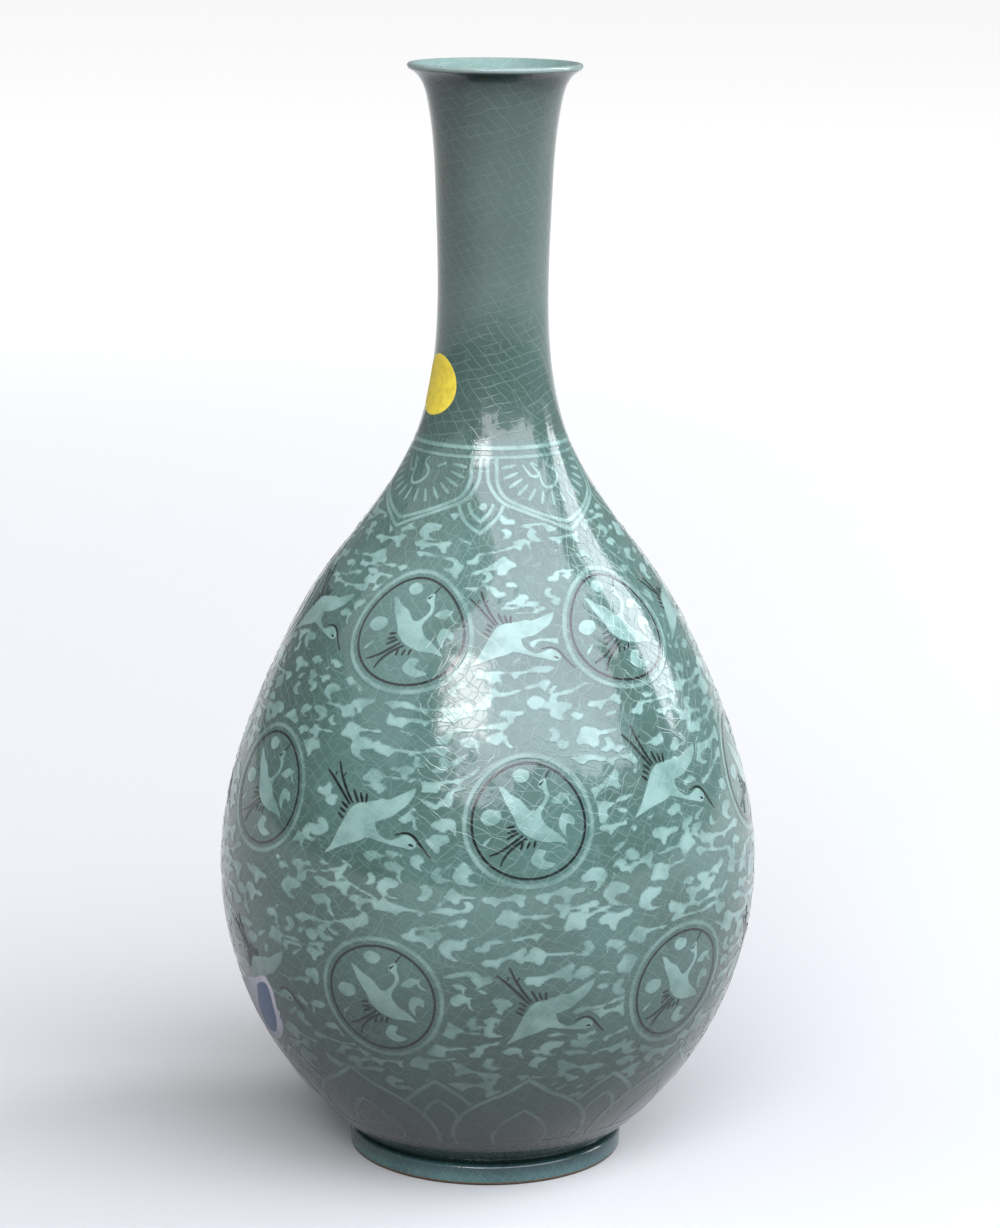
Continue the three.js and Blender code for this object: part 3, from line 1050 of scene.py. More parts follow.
@dataclass
class TurnedLines:
    """Lines of slip run round the vase while it turned on the wheel.

    Each has a height, a width, and how fully its slip covers the clay.
    """

    form: ThrownForm
    finishes: Finishes
    sides: int = 240
    lift: float = 0.1
    lines: tuple[tuple[str, float, float, float, Slip], ...] = (
        ("foot_line", 14.0, 0.8, 0.9, Slip.BLACK),
        ("petal_base_line", 17.8, 1.1, 0.5, Slip.WHITE),
        ("collar_line_lower", 228.0, 1.4, 0.65, Slip.WHITE),
        ("collar_line_upper", 230.7, 1.8, 0.75, Slip.WHITE),
    )

    def build(self) -> None:
        """Builds each line as its own ring."""
        angles = 360 * np.arange(self.sides) / self.sides
        for name, height, width, full, slip in self.lines:
            draft = Draft()
            ring = self.form.line(np.stack([angles, np.full(self.sides, height)], axis=1))
            draft.band(ring, width, self.lift, closed=True, full=full)
            draft.piece(f"{name}_under_glaze", (self.finishes.slip(slip),), slip.value, (name,))


@dataclass(frozen=True)
class Figure:
    """A figure of inlay: white shapes cut out of the clay, and black strokes drawn over them."""

    outline: Flat
    corners: tuple[int, ...]
    strokes: tuple[tuple[Flat, tuple[float, ...]], ...] = ()
    stroke_lift: float = 0.19
    stroke_core: float = 0.7

    def fill(self, draft: Draft, spot: Spot) -> None:
        """Fills the figure with slip.

        Args:
            draft: The mesh that gets it, with white slip in slot 0 and black in slot 1.
            spot: Where it lies.
        """
        draft.patch(rounded(self.outline, self.corners), spot, FIGURE_LIFT)
        for points, widths in self.strokes:
            path = spot.laid(rounded(points, closed=False, step=0.9))
            scaled = [width * spot.size for width in widths]
            draft.band(path, scaled, self.stroke_lift, finish=1, core=self.stroke_core)

    def distance(self, points: np.ndarray) -> np.ndarray:
        """Tells how far points are from the figure.

        Args:
            points: Points of the drawing.

        Returns:
            The distance of each, negative inside the figure.
        """
        nearest = -depth_in(points, rounded(self.outline, self.corners, step=1.2))
        for stroke, widths in self.strokes:
            path = rounded(stroke, closed=False, step=1.2)
            away = np.linalg.norm(points[:, None] - path, axis=-1).min(axis=1) - max(widths) / 2
            nearest = np.minimum(nearest, away)
        return nearest


# Widths of the cranes' black strokes, from end to end.
LEG = (0.5, 0.9, 0.95, 0.7)
TAIL = (0.45, 1.0, 0.6)
NICK = (0.5, 0.3)

FLYING_CRANE = Figure(
    outline=(
        (14.3, 8.8), (13.6, 6.1), (11.7, 3.2), (9.7, 1.5), (7.1, -0.6), (2.8, -2.3), (3.4, -4.3),
        (4.9, -5.7), (7.2, -6.6), (9.4, -5.8), (10.9, -4.9), (12.3, -4.5), (14.2, -5.4), (15.3, -7.0),
        (14.8, -8.2), (13.2, -8.8), (10.4, -8.4), (7.9, -8.2), (5.8, -7.8), (4.1, -7.5), (2.2, -7.1),
        (0.3, -6.9), (-1.8, -8.1), (-4.5, -9.1), (-7.3, -10.2), (-10.4, -11.7), (-13.6, -13.2),
        (-11.0, -10.1), (-9.5, -6.9), (-8.4, -4.2), (-7.4, -2.1), (-6.0, 0.5), (-4.3, 2.1), (-2.0, 2.9),
        (0.3, 3.5), (2.3, 3.9), (3.9, 4.6), (5.6, 4.4), (7.2, 5.0), (9.7, 6.4), (11.9, 7.6),
    ),
    corners=(0, 5, 21, 26),
    strokes=(
        (((-15.7, 10.9), (-12.5, 8.3), (-9.3, 5.2), (-6.0, 1.8)), LEG),
        (((-12.0, 13.4), (-10.4, 9.9), (-7.9, 5.8), (-5.2, 2.3)), LEG),
        (((-12.3, 10.5), (-12.6, 9.3)), NICK),
        (((-9.1, 10.4), (-9.7, 9.3)), NICK),
        (((-5.4, 6.0), (-3.4, 2.6)), TAIL),
        (((-3.1, 5.4), (-2.0, 2.8)), TAIL),
        (((-1.0, 5.4), (-0.9, 2.8)), TAIL),
        (((-8.9, 2.3), (-6.6, 0.8)), TAIL),
        (((-9.1, 0.6), (-7.1, -0.5)), TAIL),
        (((-9.6, -0.8), (-7.6, -2.1)), TAIL),
        (
            ((8.9, -5.1), (11.0, -4.3), (13.2, -4.4), (14.9, -5.5), (16.4, -7.3), (19.3, -10.3)),
            (0.3, 0.8, 0.8, 0.4),
        ),
        (((12.9, -7.3), (13.6, -7.4), (14.3, -7.6)), (0.4, 0.9, 0.4)),
    ),
)

ROUNDEL_CRANE = Figure(
    outline=(
        (-9.6, 10.7), (-7.5, 10.1), (-5.1, 8.0), (-2.4, 6.5), (-0.6, 4.4), (0.6, 3.2), (2.1, 3.5),
        (4.2, 5.6), (5.0, 7.4), (4.5, 8.7), (3.0, 9.8), (3.3, 11.3), (4.8, 12.5), (5.9, 12.2), (6.0, 10.1),
        (6.6, 7.7), (6.0, 5.6), (4.2, 2.9), (3.9, 1.1), (5.4, -1.4), (7.5, -2.9), (10.2, -5.3),
        (12.3, -8.4), (10.2, -6.9), (7.8, -6.5), (4.8, -6.5), (2.1, -5.9), (-0.6, -4.7), (-2.4, -3.2),
        (-3.9, -1.4), (-4.8, 1.1), (-6.0, 3.2), (-7.5, 5.9), (-8.4, 8.3),
    ),
    corners=(0, 22),
    strokes=(
        (((3.6, 10.5), (5.0, 11.7)), (0.9, 0.2)),
        (((5.6, 12.7), (7.2, 15.0)), (0.6, 0.35)),
        (((-11.7, -9.9), (-8.4, -8.6), (-4.8, -6.2), (-2.0, -4.2)), LEG),
        (((-8.6, -12.9), (-7.2, -10.1), (-4.5, -7.4), (-0.9, -5.0)), LEG),
        (((-6.6, -1.7), (-4.4, -1.4)), TAIL),
        (((-6.6, -3.3), (-3.9, -2.7)), TAIL),
        (((-6.7, -5.1), (-3.3, -3.3)), TAIL),
        (((-2.7, -8.3), (-2.1, -6.2)), TAIL),
        (((-0.9, -8.0), (0.0, -6.2)), TAIL),
        (((1.1, -7.8), (1.7, -5.9)), TAIL),
    ),
)


class Cloud(Enum):
    """The cloud shapes that the carver repeats, with the numbers of their sharp points."""

    COMET = (
        (
            (-9.1, -0.3), (-7.6, 1.5), (-7.1, 2.8), (-5.1, 3.3), (-2.0, 2.0), (0.0, 1.0), (4.0, 1.0),
            (9.6, 0.2), (5.0, -0.6), (1.5, -0.4), (-1.5, -0.8), (-2.0, -2.8), (-4.0, -3.5), (-6.3, -2.3),
            (-8.8, -1.8),
        ),
        (7,),
    )
    SADDLE = (
        (
            (-5.8, 1.0), (-4.5, 2.5), (-1.0, 2.8), (1.0, 1.8), (4.0, 2.0), (6.0, 1.0), (4.5, -0.3),
            (2.0, -0.5), (0.5, -1.5), (-0.5, -3.3), (-2.5, -2.8), (-2.8, -1.0), (-5.0, -0.5),
        ),
        (),
    )
    MUSHROOM = (
        (
            (-4.5, 1.3), (-2.5, 2.5), (0.5, 3.0), (2.5, 2.0), (4.7, 1.3), (2.9, 0.7), (3.0, -1.5),
            (4.8, -3.4), (3.0, -3.0), (1.5, -1.5), (1.3, 0.0), (-1.0, -0.8), (-3.0, 0.0),
        ),
        (4, 7),
    )
    HOOK = (
        (
            (-4.5, -0.5), (-3.5, 2.0), (-1.0, 3.3), (2.0, 3.0), (4.0, 1.8), (3.0, 0.3), (0.5, -0.5),
            (-0.3, -1.4), (1.5, -2.6), (6.0, -3.5), (0.5, -3.5), (-2.5, -2.5), (-3.7, -1.5),
        ),
        (9,),
    )
    BANK = (
        (
            (-12.6, 2.0), (-11.6, 2.8), (-9.6, 1.5), (-5.6, 1.0), (-1.0, 0.5), (2.5, 0.8), (5.6, 2.0),
            (8.6, 2.6), (11.6, 2.3), (13.3, 1.8), (11.1, 0.8), (9.6, -0.5), (8.1, 0.0), (5.6, 0.0),
            (1.5, -0.8), (0.5, -2.0), (-0.5, -1.6), (-1.0, -0.8), (-4.5, -0.8), (-6.1, -2.0), (-7.1, -2.9),
            (-9.1, -2.0), (-12.1, -1.5), (-12.9, 0.0),
        ),
        (9,),
    )
    PUFF = (
        (
            (-3.3, 0.0), (-2.5, 1.8), (-0.5, 2.6), (1.5, 2.0), (3.2, 0.8), (3.0, -1.3), (1.0, -2.5),
            (-1.5, -2.3),
        ),
        (),
    )
    DRIFT = (
        (
            (-12.0, -3.0), (-11.5, -1.0), (-9.5, -0.8), (-8.0, 0.8), (-5.0, 1.3), (-1.0, 1.0), (3.0, 1.5),
            (7.0, 2.3), (10.0, 3.0), (12.3, 2.5), (11.5, 1.0), (9.5, -0.8), (8.0, 0.5), (4.0, 0.3),
            (0.0, -0.3), (-3.0, -0.5), (-6.0, -0.6), (-6.5, -2.3), (-8.0, -3.8), (-10.0, -3.6),
        ),
        (),
    )
    DASH = (
        ((-3.4, -1.7), (-2.5, 0.0), (0.0, 0.8), (3.4, 1.9), (1.0, -0.1), (-0.8, -1.3), (-2.0, -1.9)),
        (0, 3),
    )
    CURL = (
        (
            (-7.7, 0.5), (-6.0, 1.8), (-3.0, 1.5), (1.0, 1.3), (4.0, 2.3), (7.0, 3.0), (8.0, 1.8),
            (6.5, -0.5), (7.0, -2.0), (5.0, -2.8), (3.5, -1.0), (1.0, -0.3), (-1.0, -1.0), (-3.0, -2.6),
            (-4.0, -1.3), (-6.0, -0.8),
        ),
        (),
    )
    COMMA = (
        ((-3.0, 0.3), (-0.9, 2.7), (1.5, 1.8), (0.3, 0.0), (3.9, -1.8), (0.3, -2.7), (-2.1, -1.5)),
        (4,),
    )

    def outline(self) -> np.ndarray:
        """The smooth outline of the cloud."""
        points, corners = self.value
        return rounded(points, corners, step=1.0)


@dataclass
class Roundels:
    """Roundels in three rows: a black and a white ring round a flying crane among small clouds."""

    form: ThrownForm
    finishes: Finishes
    black_radius: float = 17.1
    white_radius: float = 19.3
    black_width: float = 0.85
    white_width: float = 2.1
    black_core: float = 0.75
    white_core: float = 0.35
    white_full: float = 0.6
    clouds: tuple[tuple[Cloud, float, float, float, float], ...] = (
        (Cloud.PUFF, -2.0, 13.4, 0.85, 8.0),
        (Cloud.MUSHROOM, 10.6, 5.6, 0.85, 20.0),
        (Cloud.COMMA, 11.4, -0.9, 1.05, -70.0),
        (Cloud.PUFF, -11.4, 1.4, 1.0, 15.0),
        (Cloud.DASH, -12.0, -5.2, 0.7, 20.0),
        (Cloud.COMMA, 3.6, -11.4, 1.2, 10.0),
    )

    def centres(self) -> dict[str, Spot]:
        """Finds the roundels by the rings of the CAD part.

        Returns:
            The middle of each, by the name of its ring.
        """
        found = {}
        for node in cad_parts:
            if node.startswith("roundel_ring_"):
                low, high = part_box(node)
                middle = (low + high) / 2
                degrees = math.degrees(math.atan2(middle.x, -middle.y))
                found[node] = Spot(self.form, degrees, middle.z / MM)
        return found

    def build(self) -> None:
        """Builds the rings, the crane and the clouds of each roundel."""
        white, black = self.finishes.white, self.finishes.black
        for node, spot in self.centres().items():
            place = node.removeprefix("roundel_ring_")
            ring = Draft()
            laid = spot.laid(circle(self.black_radius))
            ring.band(laid, self.black_width, FIGURE_LIFT, closed=True, core=self.black_core)
            ring.piece(f"black_ring_{place}", (black,), "black_slip", (node,))
            ring = Draft()
            laid = spot.laid(circle(self.white_radius))
            look = {"core": self.white_core, "full": self.white_full}
            ring.band(laid, self.white_width, FIGURE_LIFT, closed=True, **look)
            ring.piece(f"white_ring_{place}", (white,), "white_slip")
            crane = Draft()
            ROUNDEL_CRANE.fill(crane, spot)
            for cloud, x, y, size, tilt in self.clouds:
                sine, cosine = math.sin(math.radians(tilt)), math.cos(math.radians(tilt))
                turned = cloud.outline() * size @ np.array([[cosine, sine], [-sine, cosine]])
                crane.patch(turned + np.array([x, y]), spot, FIGURE_LIFT)
            crane.piece(f"roundel_crane_{place}", (white, black), "white_slip")


@dataclass
class FlyingCranes:
    """Cranes that fly between the roundels.

    Each of the three rows has its own size of crane, and each crane an angle, a height and a tilt.
    """

    form: ThrownForm
    finishes: Finishes
    sizes: tuple[float, float, float] = (0.93, 1.07, 1.0)
    upper: tuple[tuple[float, float, float], ...] = (
        (7.2, 180.6, -5), (78.0, 181.8, -3), (151.0, 180.5, -4), (224.0, 181.5, -2), (295.2, 181.6, -3),
    )
    middle: tuple[tuple[float, float, float], ...] = (
        (-26.6, 128.1, 1), (44.7, 137.3, -9), (118.6, 130.4, -5), (191.7, 131.0, -4), (264.8, 130.0, -6),
    )
    lower: tuple[tuple[float, float, float], ...] = (
        (13.2, 70.6, 0), (82.1, 71.8, -3), (155.1, 72.4, -2), (228.1, 71.6, -4), (302.6, 71.6, 0),
    )

    def spots(self) -> dict[str, Spot]:
        """Lists the cranes.

        Returns:
            Where each flies, by its row and number.
        """
        rows = {"upper": self.upper, "middle": self.middle, "lower": self.lower}
        return {
            f"{row}_{number}": Spot(self.form, *place, size)
            for (row, places), size in zip(rows.items(), self.sizes)
            for number, place in enumerate(places, 1)
        }

    def build(self) -> None:
        """Builds each crane."""
        for place, spot in self.spots().items():
            draft = Draft()
            FLYING_CRANE.fill(draft, spot)
            draft.piece(f"flying_crane_{place}", (self.finishes.white, self.finishes.black), "white_slip")


@dataclass
class CollarLappets:
    """Cloud-collar lappets below the collar lines, big ones with a rosette, small ones with a dot."""

    form: ThrownForm
    finishes: Finishes
    count: int = 4
    big_start: float = 40.4
    small_start: float = -5.0
    width: float = 1.7
    full: float = 0.7
    big_outer: Flat = (
        (42.5, 228.0), (42.3, 222.0), (39.0, 218.2), (33.5, 215.2), (25.0, 213.2), (16.0, 211.0),
        (8.0, 209.0), (0.0, 206.6),
    )
    big_inner: Flat = (
        (36.5, 228.0), (36.5, 221.0), (33.0, 217.0), (27.0, 215.0), (19.0, 213.0), (10.0, 211.0),
        (0.0, 209.0),
    )
    small_outer: Flat = (
        (-12.5, 215.3), (-10.0, 211.6), (-5.2, 208.8), (0.0, 206.9), (4.4, 209.0), (8.9, 211.6),
        (11.8, 214.5),
    )
    small_inner: Flat = ((-7.0, 215.1), (-4.7, 212.2), (0.0, 210.2), (4.0, 212.3), (6.5, 214.9))
    hooks: tuple[Flat, ...] = (
        (
            (1.2, 0.6), (-0.2, -1.4), (2.3, -3.7), (2.2, -6.3), (-0.5, -8.7), (-2.8, -8.4), (-3.6, -5.7),
            (-3.4, -3.2),
        ),
        ((8.2, -0.3), (5.3, -2.0)),
        ((-8.5, -0.2), (-6.2, -4.4), (-3.8, -4.2), (-5.6, -0.3), (-3.5, -1.6)),
    )
    hook_widths: tuple[float, ...] = (0.7, 1.4, 1.4, 1.3, 0.7)
    ray_widths: tuple[float, ...] = (0.6, 1.4, 1.7, 1.0)
    rosette_height: float = 226.5
    dot: tuple[float, float, float] = (0.9, 214.2, 1.4)
    ray_count: int = 14
    ray_inner: float = 10.5
    ray_outer: float = 15.0

    def bottom_edge(self, degrees: np.ndarray) -> np.ndarray:
        """Follows the lowest lappet lines.

        Args:
            degrees: Angles round the vase.

        Returns:
            The height of the lowest line at each.
        """
        pitch = 360 / self.count
        big = np.abs((degrees - self.big_start + pitch / 2) % pitch - pitch / 2)
        small = (degrees - self.small_start + pitch / 2) % pitch - pitch / 2
        big_edge = np.interp(big, *np.array(self.big_outer[::-1]).T)
        small_edge = np.interp(small, *np.array(self.small_outer).T, left=np.inf, right=np.inf)
        return np.minimum(big_edge, small_edge)

    def path(self, points: Flat, tip: int, centre: float) -> Laid:
        """Lays a smooth line on the clay.

        Args:
            points: Angles and heights that it passes.
            tip: The number of its sharp point.
            centre: The angle from which the others are measured.

        Returns:
            Its points, and the directions out of the clay.
        """
        drawn = rounded(points, (tip,), closed=False, step=1.5)
        drawn[:, 0] += centre
        return self.form.line(drawn)

    def big(self, number: int) -> None:
        """Builds one large lappet and its rosette.

        Args:
            number: Which of them, from 0.
        """
        centre = self.big_start + 360 / self.count * number
        draft = Draft()
        for half in (self.big_outer, self.big_inner):
            left = [(-x, z) for x, z in half]
            points = left[:-1] + [half[-1]] + list(half[-2::-1])
            draft.band(self.path(points, len(half) - 1, centre), self.width, LINE_LIFT, full=self.full)
        spot = Spot(self.form, centre, self.rosette_height)
        for hook in self.hooks:
            draft.band(spot.laid(rounded(hook, closed=False)), self.hook_widths, LINE_LIFT, full=self.full)
        for k in range(self.ray_count):
            angle = math.radians(180 + 180 * k / (self.ray_count - 1))
            way = np.array([math.cos(angle), math.sin(angle)])
            ray = np.linspace(self.ray_inner, self.ray_outer, 7)[:, None] * way
            draft.band(spot.laid(ray), self.ray_widths, LINE_LIFT, full=self.full)
        draft.piece(f"large_lappet_{number + 1}", (self.finishes.white,), "white_slip")

    def small(self, number: int) -> None:
        """Builds one small lappet and its dot.

        Args:
            number: Which of them, from 0.
        """
        centre = self.small_start + 360 / self.count * number
        draft = Draft()
        for points, tip in ((self.small_outer, 3), (self.small_inner, 2)):
            draft.band(self.path(points, tip, centre), self.width, LINE_LIFT, full=self.full)
        aside, height, radius = self.dot
        draft.patch(arc((0, 0), radius, 0, 350, 14), Spot(self.form, centre + aside, height), FIGURE_LIFT)
        draft.piece(f"small_lappet_{number + 1}", (self.finishes.white,), "white_slip")

    def build(self) -> None:
        """Builds the lappets round the collar."""
        for number in range(self.count):
            self.big(number)
            self.small(number)


@dataclass
class LotusPetals:
    """The band of lotus petals that rises from the petal base line."""

    form: ThrownForm
    finishes: Finishes
    count: int = 8
    big_start: float = 10.6
    small_start: float = -12.0
    outer_width: float = 2.1
    inner_width: float = 1.8
    full: float = 0.85
    big_outer: Flat = (
        (0.0, 45.0), (5.5, 40.0), (9.4, 37.6), (14.5, 33.5), (18.5, 28.0), (20.3, 22.0), (19.5, 17.8),
    )
    big_inner: Flat = ((0.0, 32.8), (4.7, 28.5), (7.6, 24.0), (8.3, 21.0), (7.5, 17.8))
    small_outer: Flat = ((0.0, 44.0), (4.0, 40.4), (8.5, 35.3))
    small_inner: Flat = ((0.0, 36.8), (3.4, 33.0), (5.2, 28.5))

    def top_edge(self, degrees: np.ndarray) -> np.ndarray:
        """Follows the highest petal lines.

        Args:
            degrees: Angles round the vase.

        Returns:
            The height of the highest line at each.
        """
        pitch = 360 / self.count
        edges = [
            np.interp(np.abs((degrees - start + pitch / 2) % pitch - pitch / 2), *np.array(half).T)
            for start, half in ((self.big_start, self.big_outer[:-1]), (self.small_start, self.small_outer))
        ]
        return np.maximum(*edges)

    def arch(self, draft: Draft, half: Flat, centre: float, width: float) -> None:
        """Adds a pointed arch.

        Args:
            draft: The mesh that gets it.
            half: Angles and heights of its right half, from the tip down.
            centre: The angle of its tip.
            width: The width of its line.
        """
        left = [(-x, z) for x, z in half[::-1]]
        drawn = rounded(left + list(half[1:]), (len(half) - 1,), closed=False, step=1.5)
        drawn[:, 0] += centre
        draft.band(self.form.line(drawn), width, LINE_LIFT, full=self.full)

    def build(self) -> None:
        """Builds each large petal and the small one behind its edge."""
        for number in range(self.count):
            turn = 360 / self.count * number
            for kind, start, outer, inner in (
                ("large", self.big_start, self.big_outer, self.big_inner),
                ("small", self.small_start, self.small_outer, self.small_inner),
            ):
                draft = Draft()
                self.arch(draft, outer, start + turn, self.outer_width)
                self.arch(draft, inner, start + turn, self.inner_width)
                draft.piece(f"{kind}_petal_{number + 1}", (self.finishes.white,), "white_slip")


@dataclass
class CloudField:
    """The drifting clouds that fill the ground between the figures, and run into each other.

    Each is stamped on a fine net over the clay, as the depth of the net's points inside its outline. The
    slip fills the net where the greatest depth is above zero. The long kinds of cloud come first and the
    small ones last, each kind as often as its chance, in the order of Cloud.
    """

    form: ThrownForm
    finishes: Finishes
    roundels: Roundels
    cranes: FlyingCranes
    petals: LotusPetals
    lappets: CollarLappets
    low: float = 34.0
    high: float = 217.0
    columns: int = 640
    row: float = 0.8
    tries: int = 7000
    full: float = 0.47
    most_overlap: float = 0.16
    gap: float = 1.2
    wobble: float = 0.45
    wobble_length: float = 2.8
    fade: float = 0.5
    least_faces: int = 7
    bands: int = 4
    seed: int = 7
    belly_radius: float = 85.0
    first_chances: tuple[float, ...] = (3, 2, 2.5, 2.5, 2.5, 0.3, 3, 1, 3, 0.8)
    last_chances: tuple[float, ...] = (1.5, 2, 3, 2, 0.5, 1, 0.6, 3.5, 1.2, 2.2)
    sizes: tuple[float, float] = (0.88, 1.2)
    shrinks: float = 0.22
    usual_tilt: float = 3.0
    tilt_spread: float = 7.0
    mirrored: float = 0.3
    crane_reach: float = 26.0
    roundel_margin: float = 4.0
    margin: float = 1.5
    meeting: float = -0.3
    least_seen: float = 0.5
    nowhere: float = -4.0
    slimming: float = 0.35
    angles: np.ndarray = field(init=False)
    places: np.ndarray = field(init=False)

    def __post_init__(self) -> None:
        """Spreads the net."""
        low, high = self.form.place_of(np.array([self.low, self.high]))
        self.angles = 2 * math.pi * np.arange(self.columns) / self.columns
        self.places = np.linspace(low, high, round((high - low) / self.row))

    def near(self, spot: Spot, reach: float) -> tuple[tuple[np.ndarray, ...], np.ndarray]:
        """Finds the part of the net near a spot.

        Args:
            spot: The spot.
            reach: How far round it.

        Returns:
            The numbers of the rows and columns there, and their points in the spot's drawing.
        """
        centre = float(self.form.place_of(spot.height))
        radius = float(self.form.at(np.array(centre))[0][0])
        turn = (self.angles - math.radians(spot.degrees) + math.pi) % (2 * math.pi) - math.pi
        rows = np.flatnonzero(np.abs(self.places - centre) < reach)
        # The radius is that at the spot, and to one side of it the vase is narrower.
        columns = np.flatnonzero(np.abs(turn) * radius < 1.15 * reach)
        drawing = spot.drawn(turn[columns][None, :], self.places[rows][:, None])
        return np.ix_(rows, columns), drawing

    def clearance(self) -> np.ndarray:
        """Measures the ground.

        Returns:
            How far each point of the net is inside it, clear of the figures, the petals and the lappets.
        """
        degrees = np.degrees(self.angles)
        above = self.places[:, None] - self.form.place_of(self.petals.top_edge(degrees))
        below = self.form.place_of(self.lappets.bottom_edge(degrees)) - self.places[:, None]
        clear = np.minimum(above, below)
        rim = self.roundels.white_radius + self.roundels.white_width / 2
        for spot in self.roundels.centres().values():
            part, drawing = self.near(spot, rim + self.roundel_margin)
            clear[part] = np.minimum(clear[part], np.linalg.norm(drawing, axis=-1) - rim)
        for spot in self.cranes.spots().values():
            part, drawing = self.near(spot, self.crane_reach)
            away = FLYING_CRANE.distance(drawing.reshape(-1, 2)).reshape(drawing.shape[:2])
            clear[part] = np.minimum(clear[part], away)
        return clear - self.gap

    def stamped(self, clear: np.ndarray) -> np.ndarray:
        """Stamps the clouds on the net, the long ones first.

        Args:
            clear: How far each point of the net is from the ground's edge.

        Returns:
            The depth of each point of the net inside the clouds.
        """
        dice = np.random.default_rng(self.seed)
        kinds = list(Cloud)
        early, late = (np.array(chances) for chances in (self.first_chances, self.last_chances))
        outlines = {kind: kind.outline() for kind in kinds}
        depth = np.full(clear.shape, self.nowhere)
        ground = clear > 0
        for attempt in range(self.tries):
            place = dice.uniform(self.places[0], self.places[-1])
            (radius, height), _ = self.form.at(np.array(place))
            girth = radius / self.belly_radius
            if dice.random() > girth:
                continue
            # By two thirds of the tries the late kinds of cloud, which are smaller, have taken over.
            share = min(1.0, 1.5 * attempt / self.tries)
            chance = (1 - share) * early / early.sum() + share * late / late.sum()
            outline = outlines[kinds[dice.choice(len(kinds), p=chance / chance.sum())]]
            size = dice.uniform(*self.sizes) - self.shrinks * share
            size *= 1 - self.slimming + self.slimming * girth
            tilt = dice.normal(self.usual_tilt, self.tilt_spread)
            mirrored = bool(dice.random() < self.mirrored)
            spot = Spot(self.form, dice.uniform(-180, 180), float(height), tilt, size, mirrored)
            part, drawing = self.near(spot, (np.abs(outline).max() + self.margin) * size)
            inner = depth_in(drawing.reshape(-1, 2), outline).reshape(drawing.shape[:2]) * size
            covered = inner > 0
            area = max(int(covered.sum()), 1)
            met = (covered & (depth[part] > self.meeting)).sum() / area
            seen = (covered & ground[part]).sum() / area
            if met > self.most_overlap or seen < self.least_seen:
                continue
            depth[part] = np.maximum(depth[part], inner)
            if ((depth > 0) & ground).sum() > self.full * ground.sum():
                break
        return depth

    def cut(self, level: np.ndarray) -> tuple[np.ndarray, list[np.ndarray], np.ndarray]:
        """Cuts the net along the line where a level on it passes zero.

        Args:
            level: The level at each point of the net.

        Returns:
            Rows of angle and place, arrays of faces where the level is above zero, and pairs of points along
            their edge.
        """
        rows, columns = level.shape
        number = np.arange(level.size).reshape(level.shape)
        right, up = np.roll(level, -1, axis=1), np.roll(level, -1, axis=0)
        spread = [level / np.where(level == there, 1.0, level - there) for there in (right, up)]
        angle, place = np.meshgrid(self.angles, self.places)
        step, rise = 2 * math.pi / columns, self.places[1] - self.places[0]
        spots = np.concatenate(
            [
                np.stack([angle, place], axis=-1).reshape(-1, 2),
                np.stack([angle + spread[0] * step, place], axis=-1).reshape(-1, 2),
                np.stack([angle, place + spread[1] * rise], axis=-1).reshape(-1, 2),
            ]
        )
        here, beside = number[:-1], np.roll(number, -1, axis=1)[:-1]
        across, along = level.size, 2 * level.size
        corners = [here, beside, beside + columns, here + columns]
        edges = [here + across, beside + along, here + columns + across, here + along]
        high = (level > 0).ravel()
        case = sum(high[corner].astype(int) << bit for bit, corner in enumerate(corners))
        groups, rim = [], []
        for kind in range(1, 16):
            loop: list[tuple[bool, np.ndarray]] = []
            chosen = case == kind
            for bit in range(4):
                if kind >> bit & 1:
                    loop.append((False, corners[bit][chosen]))
                if (kind >> bit & 1) != (kind >> (bit + 1) % 4 & 1):
                    loop.append((True, edges[bit][chosen]))
            groups.append(np.stack([ids for _, ids in loop], axis=1))
            for (cut, start), (cut_next, end) in zip(loop, loop[1:] + loop[:1]):
                if cut and cut_next:
                    rim.append(np.stack([start, end], axis=1))
        return spots, groups, np.concatenate(rim)

    def joined(self, groups: Sequence[np.ndarray], count: int) -> np.ndarray:
        """Tells which points belong to one cloud.

        Args:
            groups: Arrays of faces.
            count: The number of points.

        Returns:
            For each point, the least number of the points that hang together with it.
        """
        labels = np.arange(count)
        while True:
            least = labels.copy()
            for faces in groups:
                np.minimum.at(least, faces, labels[faces].min(axis=1, keepdims=True))
            least = least[least]
            if (least == labels).all():
                return labels
            labels = least

    def build(self) -> None:
        """Builds the clouds in bands from the low one up."""
        clear = self.clearance()
        angle, place = np.meshgrid(self.angles, self.places)
        points, _ = self.form.around(angle.ravel(), place.ravel())
        bumps = np.array([noise.noise(Vector(p)) for p in points / self.wobble_length])
        level = np.minimum(self.stamped(clear) + self.wobble * bumps.reshape(clear.shape), clear)
        spots, groups, rim = self.cut(level)
        cover = np.concatenate([np.clip(level.ravel() / self.fade, 0, 1), np.zeros(2 * level.size)])
        labels = self.joined(groups, len(spots))
        sizes = sum(np.bincount(labels[faces[:, 0]], minlength=len(spots)) for faces in groups)
        edges = np.linspace(self.places[0], self.places[-1], self.bands + 1)
        band_of = np.searchsorted(edges, spots[labels, 1])
        band_of[sizes[labels] < self.least_faces] = 0
        for band in range(1, self.bands + 1):
            chosen = [faces[band_of[faces[:, 0]] == band] for faces in groups]
            chosen = [faces for faces in chosen if len(faces)]
            used = np.unique(np.concatenate([faces.ravel() for faces in chosen]))
            chosen = [np.searchsorted(used, faces) for faces in chosen]
            edge = np.searchsorted(used, rim[band_of[rim[:, 0]] == band])
            draft = Draft()
            draft.shell(self.form.around(*spots[used].T), chosen, edge, FIGURE_LIFT, cover=cover[used])
            draft.piece(f"inlaid_clouds_{band}", (self.finishes.white,), "white_slip")


